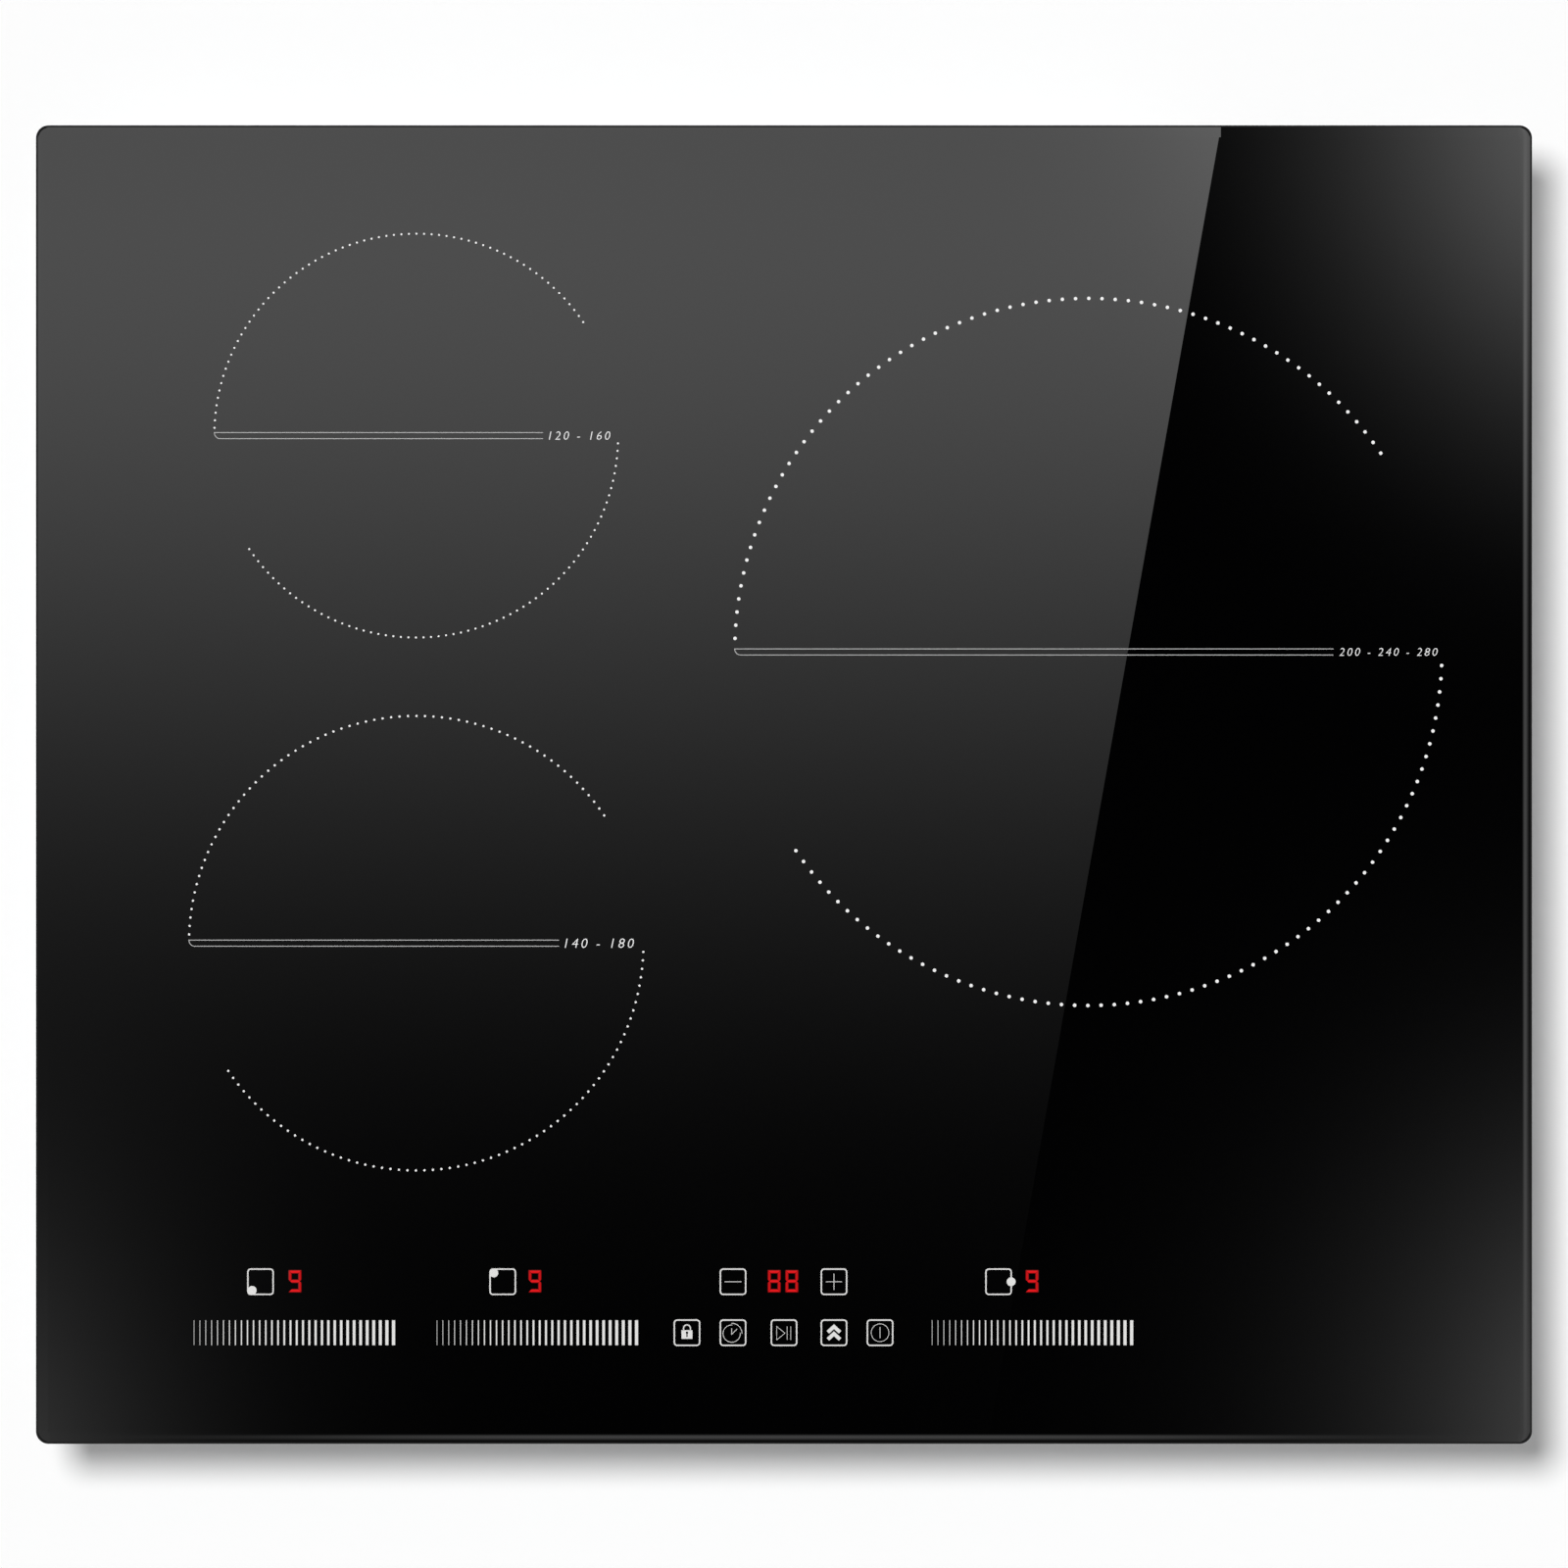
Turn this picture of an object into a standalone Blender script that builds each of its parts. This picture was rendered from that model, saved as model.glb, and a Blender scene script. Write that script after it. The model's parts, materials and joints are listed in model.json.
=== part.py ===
"""Built-in three-zone induction hob: every piece, at its real size, in metres with +Z up.

+X is the right side and +Y the rear, as the cook sees them. The origin is the centre of the base tray's
underside. The tray hangs in a worktop's cut-out, and the glass lies on the worktop through its rim seal.
Heights stack from both ends: the tray carries the carriers, boards and blowers, while the coils and the
touch parts keep close to the glass, so the room between the two follows the depth of the tray.
"""

import math
from collections import namedtuple

import bmesh
import bpy
from mathutils import Matrix, Vector
from mathutils.geometry import tessellate_polygon

MM = 0.001

# Gap between two pieces that touch, and the overlap that makes a Boolean clean
FIT = 0.3 * MM
SINK = 0.2 * MM

# Glass plate
GLASS_LENGTH = 590 * MM
GLASS_WIDTH = 520 * MM
GLASS_THICKNESS = 4 * MM
GLASS_CORNER = 5 * MM
GLASS_EDGE_RUN = 4.5 * MM
GLASS_EDGE_DROP = 1.8 * MM
GLASS_ARRIS = 0.4 * MM

# Rim: what lies between the glass, the worktop and the tray
RIM_OVERHANG = 20 * MM
SEAL_THICKNESS = 2.7 * MM
SEAL_WIDTH = 12 * MM
SEAL_SETBACK = 2 * MM
ADHESIVE_THICKNESS = 1.4 * MM
ADHESIVE_WIDTH = 8 * MM
FRAME_SHEET = 1.0 * MM
FRAME_RING_WIDTH = 14 * MM
FRAME_FLANGE = 6 * MM

# Base tray
BUILT_IN_DEPTH = 53 * MM
TRAY_SHEET = 0.8 * MM
TRAY_CORNER = 6 * MM
TRAY_BEND = 3 * MM
BEAD_WIDTH = 8 * MM
BEAD_HEIGHT = 1.2 * MM
BEAD_INSET = 14 * MM
BEAD_END_GAP = 50 * MM
OUTLET_SLOT_WIDTH = 3.2 * MM
OUTLET_SLOT_HEIGHT = 20 * MM
OUTLET_SLOT_PITCH = 8 * MM
OUTLET_SLOTS = 9
OUTLET_SLOT_LIFT = 12 * MM

# Cooking zones: radius of each printed circle and the two rear margins, from a circle to the tray's wall.
# The length that the circles leave free is shared by the left margin, the middle gap and the right margin,
# and the depth that the left ones leave free by the gap between them and the front margin.
Zone = namedtuple("Zone", "name radius x y")
REAR_LEFT_RADIUS = 79.6 * MM
FRONT_LEFT_RADIUS = 89.6 * MM
RIGHT_RADIUS = 139.4 * MM
REAR_LEFT_MARGIN = 22.0 * MM
RIGHT_MARGIN = 47.5 * MM
LEFT_MARGIN_SHARE = 0.438
MIDDLE_GAP_SHARE = 0.398
DEPTH_GAP_SHARE = 0.262

# Coils, from the glass down
INSULATOR_THICKNESS = 1.5 * MM
INSULATOR_HOLE_RADIUS = 11 * MM
WINDING_THICKNESS = 4.5 * MM
WINDING_INNER_RADIUS = 22 * MM
WINDING_STRAND_GAP = 0.6 * MM
SMALL_COIL_TURNS = 6
LARGE_COIL_TURNS = 8
FORMER_MARGIN = 8 * MM
FORMER_PLATE = 2.5 * MM
FORMER_RIM = 2 * MM
FERRITE_HEIGHT = 4 * MM
FERRITE_WIDTH = 10 * MM
FERRITES = 8
SENSOR_HEAD_RADIUS = 8 * MM
SENSOR_STEM_RADIUS = 5.5 * MM
DECK_SHEET = 1.5 * MM
DECK_HOLE_RADIUS = 13 * MM
LEG_WIDTH = 16 * MM
LEG_INSET = 1 * MM
LEAD_RADIUS = 2.2 * MM
LEAD_FROM_EDGE = 4 * MM
LEAD_CLEARANCE = 4 * MM

# Carriers, boards and heatsinks, from the tray up
CARRIER_SHEET = 2 * MM
CARRIER_FOOT = 2.5 * MM
CARRIER_BOSS = 4 * MM
CARRIER_BOSS_RADIUS = 3.5 * MM
CARRIER_MARGIN = 3 * MM
BOARD_THICKNESS = 1.6 * MM
BOARD_WIDTH = 150 * MM
BOARD_LENGTH = 230 * MM
BOARD_SIDE_GAP = 6 * MM
BOARD_FRONT_GAP = 10 * MM
HEATSINK_WIDTH = 52 * MM
HEATSINK_LENGTH = 165 * MM
HEATSINK_HEIGHT = 25 * MM
HEATSINK_BASE = 4 * MM
HEATSINK_FINS = 9
FIN_THICKNESS = 1.6 * MM
BOARD_INSET = 6 * MM
CONNECTOR_SIZE = 10 * MM
CONNECTOR_HEIGHT = 8 * MM
CONNECTOR_GAP = 4.6 * MM
REAR_LEFT_PLUG_FROM_REAR = 13.7 * MM
FRONT_LEFT_PLUG_FROM_FRONT = 153 * MM
RIGHT_PLUG_FROM_FRONT = 82 * MM
FILTER_WIDTH = 68 * MM
FILTER_LENGTH = 124 * MM
FILTER_GAP = 10 * MM
SUPPLY_ARCH = 14 * MM
SUPPLY_FROM_FRONT = 20 * MM
SUPPLY_FROM_REAR = 12.7 * MM
CAPACITORS = 3
CAPACITOR_LENGTH = 28 * MM
CAPACITOR_WIDTH = 18 * MM
CAPACITOR_HEIGHT = 20 * MM
CAPACITOR_PITCH = 44 * MM
CAPACITOR_FROM_FRONT = 58 * MM
CAPACITOR_FROM_SIDE = 30 * MM
CHOKE_RADIUS = 12 * MM
CHOKE_HEIGHT = 24 * MM
CHOKE_FROM_REAR = 24 * MM
FILTER_CHOKE_RADIUS = 17 * MM
FILTER_CHOKE_HEIGHT = 22 * MM
FILTER_CHOKE_FROM_FRONT = 34 * MM
FILTER_CAPACITOR_LENGTH = 26 * MM
FILTER_CAPACITOR_WIDTH = 12 * MM
FILTER_CAPACITOR_HEIGHT = 20 * MM
FILTER_CAPACITOR_FROM_FRONT = 68 * MM
RELAY_LENGTH = 22 * MM
RELAY_WIDTH = 24 * MM
RELAY_HEIGHT = 16 * MM
RELAY_FROM_FRONT = 74 * MM

# Blowers: a scroll case round a wheel of forward-curved blades
CASE_HEIGHT = 26 * MM
CASE_WALL = 1.5 * MM
CASE_TO_BOARD = 4 * MM
WHEEL_RADIUS = 38 * MM
WHEEL_CLEARANCE = 3.5 * MM
SCROLL_GROWTH = 14 * MM
OUTLET_WIDTH = 50 * MM
INTAKE_RADIUS = 29 * MM
WHEEL_DISC = 1.5 * MM
WHEEL_END_GAP = 1.5 * MM
HUB_RADIUS = 19 * MM
HUB_WALL = 1.5 * MM
HUB_DEPTH = 11 * MM
BLADES = 16
BLADE_THICKNESS = 1.3 * MM
BLADE_INNER_RADIUS = 30.5 * MM
BLADE_SWEEP = math.radians(13)
WHEEL_RING_WIDTH = 3.5 * MM
SHAFT_RADIUS = 1.5 * MM
GRILLE_SLOT_WIDTH = 3.4 * MM
GRILLE_SLOT_PITCH = 6.4 * MM

# Mains connection: a pocket in the tray's rear corner that holds the terminal box
POCKET_LENGTH = 110 * MM
POCKET_DEPTH = 40 * MM
POCKET_HEIGHT = 28 * MM
POCKET_INSET = 14 * MM
BOX_WALL = 1.8 * MM
BLOCK_LENGTH = 72 * MM
BLOCK_DEPTH = 14 * MM
BLOCK_HEIGHT = 7 * MM
BLOCK_POLES = 6
POLE_HEIGHT = 5 * MM
GROMMET_BORE = 5.5 * MM
GROMMET_BODY = 8 * MM
GROMMET_FLANGE = 10.5 * MM
GROMMET_INNER_FLANGE = 9.5 * MM
GROMMET_FLANGE_THICKNESS = 2 * MM
HARNESS_RADIUS = 2.5 * MM
HARNESS_ROOM = 1.5 * MM
HARNESS_HEADROOM = 1 * MM

# Fixing brackets: they slide up under the worktop on a screw through their slot
BRACKET_SHEET = 1.5 * MM
BRACKET_WIDTH = 24 * MM
BRACKET_REACH = 13 * MM
BRACKET_TRAVEL = 12 * MM
BRACKET_EDGE = 4 * MM
BRACKET_BEND = 1.5 * MM
BRACKET_HEADROOM = 0.5 * MM
BRACKET_FROM_MIDDLE = 150 * MM
SCREW_RADIUS = 2 * MM
SCREW_HEAD_RADIUS = 4.2 * MM
SCREW_HEAD_HEIGHT = 2.2 * MM
SCREW_HEAD_CHAMFER = 0.9 * MM
SCREW_TAIL = 5 * MM

# Control row: places of the sliders and keys from the middle of the glass and from its front edge
FRONT_LEFT_SLIDER_OUT = 193.0 * MM
REAR_LEFT_SLIDER_OUT = 97.2 * MM
RIGHT_SLIDER_OUT = 98.0 * MM
SLIDER_LENGTH = 79.3 * MM
SLIDER_HEIGHT = 9.8 * MM
ZONE_KEY_OFFSET = 13.5 * MM
INNER_KEY_OUT = 20.0 * MM
OUTER_KEY_OUT = 38.1 * MM
FRONT_ROW_FROM_EDGE = 43.9 * MM
REAR_ROW_FROM_EDGE = 64.0 * MM
KEY_RADIUS = 4.2 * MM
DISPLAY_LENGTH = 9 * MM
TIMER_DISPLAY_LENGTH = 16 * MM
DISPLAY_DEPTH = 12 * MM
DISPLAY_HEIGHT = 6.8 * MM
DISPLAY_RECESS = 0.6 * MM
DISPLAY_RIM = 1 * MM
TOUCH_EDGE = 4 * MM
TOUCH_WALL = 1.8 * MM
TOUCH_POST = 8 * MM
RIBBON_WIDTH = 16 * MM
RIBBON_THICKNESS = 1 * MM
RIBBON_ROOM = 1 * MM

# Facets
CORNER_SEGMENTS = 5
BEND_SEGMENTS = 3
SLOT_SEGMENTS = 3
GUIDE_SLOT_SEGMENTS = 6
POST_SEGMENTS = 8
SMALL_SEGMENTS = 12
ROUND_SEGMENTS = 16
WIDE_SEGMENTS = 24
SMALL_COIL_SEGMENTS = 16
LARGE_COIL_SEGMENTS = 20
SCROLL_STEPS = 20
ARCH_STEPS = 9
LEAD_STEPS = 6
LEAD_PULL = 0.8
WIRE_ROUNDING = 1

# Heights that follow from those above
WORKTOP_Z = BUILT_IN_DEPTH
GLASS_UNDER = WORKTOP_Z + SEAL_THICKNESS + FIT
GLASS_TOP = GLASS_UNDER + GLASS_THICKNESS
FRAME_TOP = GLASS_UNDER - ADHESIVE_THICKNESS - 2 * FIT
FRAME_BOTTOM = FRAME_TOP - FRAME_FLANGE
TRAY_TOP = FRAME_TOP - FRAME_SHEET - FIT
INSULATOR_TOP = GLASS_UNDER - FIT
WINDING_TOP = INSULATOR_TOP - INSULATOR_THICKNESS - FIT
FORMER_TOP = WINDING_TOP - WINDING_THICKNESS - FIT
FERRITE_TOP = FORMER_TOP - FORMER_PLATE
DECK_TOP = FERRITE_TOP - FERRITE_HEIGHT - FIT
DECK_UNDER = DECK_TOP - DECK_SHEET
SEAT_Z = TRAY_SHEET + FIT
CARRIER_Z = SEAT_Z + CARRIER_FOOT
BOARD_Z = CARRIER_Z + CARRIER_SHEET + CARRIER_BOSS + FIT
BOARD_TOP = BOARD_Z + BOARD_THICKNESS
TOUCH_TOP = GLASS_UNDER - DISPLAY_HEIGHT - 2 * FIT
TOUCH_UNDER = TOUCH_TOP - BOARD_THICKNESS

# Plan sizes that follow
HOUSING_LENGTH = GLASS_LENGTH - 2 * RIM_OVERHANG
HOUSING_WIDTH = GLASS_WIDTH - 2 * RIM_OVERHANG
FRAME_LENGTH = HOUSING_LENGTH + 2 * (FIT + FRAME_SHEET)
FRAME_WIDTH = HOUSING_WIDTH + 2 * (FIT + FRAME_SHEET)
FRONT_ROW_Y = FRONT_ROW_FROM_EDGE - GLASS_WIDTH / 2
REAR_ROW_Y = REAR_ROW_FROM_EDGE - GLASS_WIDTH / 2
SLIDER_X = (-FRONT_LEFT_SLIDER_OUT, -REAR_LEFT_SLIDER_OUT, RIGHT_SLIDER_OUT)
KEY_X = (-OUTER_KEY_OUT, -INNER_KEY_OUT, 0.0, INNER_KEY_OUT, OUTER_KEY_OUT)
INSIDE_X = HOUSING_LENGTH / 2 - TRAY_SHEET
INSIDE_Y = HOUSING_WIDTH / 2 - TRAY_SHEET


def zone_layout():
    """The three zones, between the tray's walls."""
    column = 2 * max(REAR_LEFT_RADIUS, FRONT_LEFT_RADIUS)
    free_length = 2 * INSIDE_X - column - 2 * RIGHT_RADIUS
    left_x = -INSIDE_X + LEFT_MARGIN_SHARE * free_length + column / 2
    right_x = left_x + column / 2 + MIDDLE_GAP_SHARE * free_length + RIGHT_RADIUS
    rear_y = INSIDE_Y - REAR_LEFT_MARGIN - REAR_LEFT_RADIUS
    behind = rear_y - REAR_LEFT_RADIUS
    free_depth = behind + INSIDE_Y - 2 * FRONT_LEFT_RADIUS
    front_y = behind - DEPTH_GAP_SHARE * free_depth - FRONT_LEFT_RADIUS
    return (Zone("rear_left", REAR_LEFT_RADIUS, left_x, rear_y),
            Zone("front_left", FRONT_LEFT_RADIUS, left_x, front_y),
            Zone("right", RIGHT_RADIUS, right_x, INSIDE_Y - RIGHT_MARGIN - RIGHT_RADIUS))


REAR_LEFT, FRONT_LEFT, RIGHT = zone_layout()

# Each side's deck covers its zones, and its board and blower lie below it
Side = namedtuple("Side", "name zones x0 x1 y0 y1 board_x board_y")


def side_of(name, zones, board_y=None):
    """A side's deck from its zones' outlines, and the front left corner of its board."""
    x0 = min(zone.x - zone.radius for zone in zones)
    x1 = max(zone.x + zone.radius for zone in zones)
    y0 = min(zone.y - zone.radius for zone in zones)
    y1 = max(zone.y + zone.radius for zone in zones)
    front = y0 + BOARD_FRONT_GAP if board_y is None else board_y
    return Side(name, zones, x0, x1, y0, y1, x0 + LEG_WIDTH + BOARD_SIDE_GAP, front)


LEFT_SIDE = side_of("left", (REAR_LEFT, FRONT_LEFT))
RIGHT_SIDE = side_of("right", (RIGHT,), LEFT_SIDE.board_y)
SIDES = (LEFT_SIDE, RIGHT_SIDE)

# Terminal pocket's inner faces, and the filter board in front of it
POCKET_X1 = INSIDE_X - POCKET_INSET
POCKET_X0 = POCKET_X1 - POCKET_LENGTH
POCKET_Y = HOUSING_WIDTH / 2 - POCKET_DEPTH
POCKET_X = (POCKET_X0 + POCKET_X1) / 2
GROMMET_Z = (BOX_WALL + POCKET_HEIGHT) / 2
HARNESS_Y = POCKET_Y + FIT + BOX_WALL + FIT + 2 * HARNESS_RADIUS
FILTER_X = RIGHT_SIDE.board_x + BOARD_WIDTH + FILTER_GAP
FILTER_Y = POCKET_Y - TRAY_SHEET - FILTER_GAP - FILTER_LENGTH

# Slot of a bracket, from its screw
SLOT_HALF_WIDTH = SCREW_RADIUS + FIT
BRACKET_ABOVE = SLOT_HALF_WIDTH + BRACKET_EDGE
BRACKET_BELOW = BRACKET_TRAVEL + SCREW_HEAD_RADIUS + FIT + BRACKET_BEND + BRACKET_SHEET
BRACKET_SCREW_Z = FRAME_BOTTOM - BRACKET_HEADROOM - BRACKET_TRAVEL - BRACKET_ABOVE


# Outlines: lists of (x, y), anticlockwise

def rectangle(x0, x1, y0, y1):
    return [(x0, y0), (x1, y0), (x1, y1), (x0, y1)]


def rounded_rectangle(length, width, radius):
    """A rectangle about the origin whose corners are arcs of one radius."""
    points = []
    for quarter, (sx, sy) in enumerate(((1, 1), (-1, 1), (-1, -1), (1, -1))):
        for step in range(CORNER_SEGMENTS + 1):
            angle = math.pi / 2 * (quarter + step / CORNER_SEGMENTS)
            points.append((sx * (length / 2 - radius) + radius * math.cos(angle),
                           sy * (width / 2 - radius) + radius * math.sin(angle)))
    return points


def circle(radius, segments=SMALL_SEGMENTS, x=0.0, y=0.0):
    angles = [2 * math.pi * step / segments for step in range(segments)]
    return [(x + radius * math.cos(a), y + radius * math.sin(a)) for a in angles]


def slot(length, width, x=0.0, y=0.0, upright=False, segments=SLOT_SEGMENTS):
    """A slot with round ends, along x, or along y when upright."""
    radius = width / 2
    points = []
    for end in (0, 1):
        for step in range(segments + 1):
            angle = math.pi * (end + step / segments) - math.pi / 2
            centre = (length / 2 - radius) * (1 - 2 * end)
            points.append((centre + radius * math.cos(angle), radius * math.sin(angle)))
    if upright:
        points = [(-py, px) for px, py in points]
    return [(x + px, y + py) for px, py in points]


# Shapes: each returns a closed bmesh

def finished(shape):
    bmesh.ops.recalc_face_normals(shape, faces=shape.faces)
    return shape


def skin(shape, loops, closed=False):
    """Faces between neighbouring loops of vertices, and flat ends unless the stack closes on itself."""
    count = len(loops[0])
    following = loops[1:] + loops[:1] if closed else loops[1:]
    for near, far in zip(loops, following):
        for i in range(count):
            j = (i + 1) % count
            shape.faces.new((near[i], near[j], far[j], far[i]))
    if not closed:
        shape.faces.new(loops[0])
        shape.faces.new(loops[-1])


def loft(rings, closed=False):
    """A solid through a stack of rings of (x, y, z), or a ring-shaped one when the stack closes on itself."""
    shape = bmesh.new()
    skin(shape, [[shape.verts.new(point) for point in ring] for ring in rings], closed)
    return finished(shape)


def prism(outline, z0, z1):
    return loft([[(x, y, z) for x, y in outline] for z in (z0, z1)])


def block(x0, x1, y0, y1, z0, z1):
    return prism(rectangle(x0, x1, y0, y1), z0, z1)


def turned(profile, segments):
    """A closed profile of (radius, z) turned about the z axis; a point on the axis becomes a pole."""
    shape = bmesh.new()
    rings = []
    for radius, z in profile:
        if radius == 0:
            rings.append([shape.verts.new((0, 0, z))] * segments)
        else:
            rings.append([shape.verts.new((x, y, z)) for x, y in circle(radius, segments)])
    for near, far in zip(rings, rings[1:] + rings[:1]):
        for i in range(segments):
            j = (i + 1) % segments
            corners = list(dict.fromkeys((near[i], near[j], far[j], far[i])))
            if len(corners) > 2:
                shape.faces.new(corners)
    return finished(shape)


def rounded_ring_stack(sections, corner):
    """Loft rings for (length, width, z) sections; corner is the first one's radius, and the others follow."""
    first_length = sections[0][0]
    rings = []
    for length, width, z in sections:
        radius = max(corner - (first_length - length) / 2, SINK)
        rings.append([(x, y, z) for x, y in rounded_rectangle(length, width, radius)])
    return rings


def relief(outline, z0, z1, raised=(), lowered=(), holes=()):
    """A plate with bosses above, posts below and holes through it.

    raised and lowered hold (outline, height) pairs, and holes holds outlines; none of them touches another.
    Each flat face is the outline with the feet of its features left out, so the solid has no inner walls.
    """
    shape = bmesh.new()

    def loop(points, z):
        return [shape.verts.new((x, y, z)) for x, y in points]

    def face_with_gaps(z, features):
        loops = [loop(points, z) for points in [outline, *features, *holes]]
        corners = [vertex for ring in loops for vertex in ring]
        for triangle in tessellate_polygon([[vertex.co.copy() for vertex in ring] for ring in loops]):
            shape.faces.new([corners[index] for index in triangle])
        return loops

    tops = face_with_gaps(z1, [points for points, _ in raised])
    bottoms = face_with_gaps(z0, [points for points, _ in lowered])

    def wall(near, far):
        for i in range(len(near)):
            j = (i + 1) % len(near)
            shape.faces.new((near[i], near[j], far[j], far[i]))

    wall(bottoms[0], tops[0])
    for near, far in zip(bottoms[1 + len(lowered):], tops[1 + len(raised):]):
        wall(near, far)
    for feet, features in ((tops[1:1 + len(raised)], raised), (bottoms[1:1 + len(lowered)], lowered)):
        for foot, (points, z) in zip(feet, features):
            end = loop(points, z)
            wall(foot, end)
            shape.faces.new(end)
    return finished(shape)


def moved(shape, x=0.0, y=0.0, z=0.0):
    bmesh.ops.translate(shape, verts=shape.verts, vec=(x, y, z))
    return shape


def tipped(shape):
    """Turns a shape about the x axis, so that its y becomes z and its z becomes -y."""
    bmesh.ops.rotate(shape, verts=shape.verts, matrix=Matrix.Rotation(math.pi / 2, 3, "X"))
    return shape


def together(*shapes):
    """One bmesh that holds several shapes that don't touch."""
    whole = bmesh.new()
    for shape in shapes:
        mesh = bpy.data.meshes.new("piece")
        shape.to_mesh(mesh)
        shape.free()
        whole.from_mesh(mesh)
        bpy.data.meshes.remove(mesh)
    return whole


def boolean(shape, tool, operation):
    """The exact Boolean of two shapes, as a new bmesh."""
    objects = []
    for name, part in (("body", shape), ("tool", tool)):
        mesh = bpy.data.meshes.new(name)
        part.to_mesh(mesh)
        part.free()
        objects.append(bpy.data.objects.new(name, mesh))
        bpy.context.scene.collection.objects.link(objects[-1])
    modifier = objects[0].modifiers.new(operation.lower(), "BOOLEAN")
    modifier.operation = operation
    modifier.solver = "EXACT"
    modifier.object = objects[1]
    bpy.context.view_layer.update()
    result = bmesh.new()
    result.from_object(objects[0], bpy.context.evaluated_depsgraph_get())
    for obj in objects:
        mesh = obj.data
        bpy.data.objects.remove(obj)
        bpy.data.meshes.remove(mesh)
    return result


def fused(shape, tool):
    return boolean(shape, tool, "UNION")


def cut(shape, tool):
    return boolean(shape, tool, "DIFFERENCE")


# Objects and finishes

def finish(name, colour, roughness, metallic=0.0):
    """A plain Principled material of one colour."""
    material = bpy.data.materials.new(name)
    material.use_nodes = True
    shader = material.node_tree.nodes["Principled BSDF"]
    shader.inputs["Base Color"].default_value = (*colour, 1.0)
    shader.inputs["Roughness"].default_value = roughness
    shader.inputs["Metallic"].default_value = metallic
    material.diffuse_color = (*colour, 1.0)
    return material


FINISHES = {
    "glass": ((0.006, 0.006, 0.007), 0.06, 0.0),
    "foam": ((0.02, 0.02, 0.02), 0.9, 0.0),
    "silicone": ((0.03, 0.03, 0.03), 0.6, 0.0),
    "steel": ((0.5, 0.5, 0.5), 0.35, 1.0),
    "galvanised": ((0.55, 0.56, 0.57), 0.42, 0.9),
    "zinc_screw": ((0.6, 0.58, 0.5), 0.3, 1.0),
    "aluminium": ((0.75, 0.75, 0.76), 0.38, 1.0),
    "copper": ((0.6, 0.25, 0.12), 0.4, 1.0),
    "mica": ((0.62, 0.55, 0.4), 0.55, 0.0),
    "black_plastic": ((0.02, 0.02, 0.022), 0.5, 0.0),
    "grey_plastic": ((0.2, 0.2, 0.21), 0.55, 0.0),
    "white_plastic": ((0.7, 0.7, 0.68), 0.5, 0.0),
    "board": ((0.02, 0.12, 0.05), 0.45, 0.0),
    "rubber": ((0.015, 0.015, 0.015), 0.75, 0.0),
    "lead": ((0.4, 0.03, 0.02), 0.5, 0.0),
    "display": ((0.25, 0.01, 0.01), 0.3, 0.0),
}


def mesh_of(name, shape):
    """The mesh of a shape, smooth over its curves and sharp at its edges."""
    mesh = bpy.data.meshes.new(name)
    shape.to_mesh(mesh)
    shape.free()
    mesh.shade_smooth()
    mesh.set_sharp_from_angle(angle=math.radians(35))
    return mesh


def place(name, mesh, material_name, parent=None, location=(0.0, 0.0, 0.0), turn=0.0):
    """An object for one sub-part, with a material of its own."""
    obj = bpy.data.objects.new(name, mesh)
    bpy.context.scene.collection.objects.link(obj)
    obj.parent = parent
    obj.location = location
    obj.rotation_euler = (0.0, 0.0, turn)
    material = finish(name, *FINISHES[material_name])
    if not mesh.materials:
        mesh.materials.append(material)
    obj.material_slots[0].link = "OBJECT"
    obj.material_slots[0].material = material
    return obj


def piece(name, shape, material_name, **placing):
    return place(name, mesh_of(name, shape), material_name, **placing)


def anchor(name, location, turn=0.0):
    """An empty that carries a group of pieces."""
    empty = bpy.data.objects.new(name, None)
    bpy.context.scene.collection.objects.link(empty)
    empty.location = location
    empty.rotation_euler = (0.0, 0.0, turn)
    return empty


def wire(name, points, radius, material_name):
    """A round lead along the given points, with closed ends."""
    curve = bpy.data.curves.new(name, "CURVE")
    curve.dimensions = "3D"
    curve.bevel_depth = radius
    curve.bevel_resolution = WIRE_ROUNDING
    curve.use_fill_caps = True
    spline = curve.splines.new("POLY")
    spline.points.add(len(points) - 1)
    for target, point in zip(spline.points, points):
        target.co = (*point, 1.0)
    return place(name, curve, material_name)


def arch(near, far, rise):
    """A half ellipse between two level points, on straight ends; rise holds the heights of ends and ellipse."""
    (xa, ya, z), (xb, yb, _) = near, far
    points = [near]
    for step in range(ARCH_STEPS + 1):
        angle = math.pi * step / ARCH_STEPS
        share = (1 - math.cos(angle)) / 2
        height = rise[0] + rise[1] * math.sin(angle)
        points.append((xa + (xb - xa) * share, ya + (yb - ya) * share, z + height))
    return [*points, far]


def bezier(start, handle_a, handle_b, end, steps):
    """Points of a cubic curve."""
    corners = [Vector(point) for point in (start, handle_a, handle_b, end)]
    points = []
    for step in range(steps + 1):
        t = step / steps
        weights = ((1 - t) ** 3, 3 * t * (1 - t) ** 2, 3 * t * t * (1 - t), t ** 3)
        points.append(sum((w * corner for w, corner in zip(weights, corners)), Vector((0, 0, 0))))
    return points


# Glass, rim and frame

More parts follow.
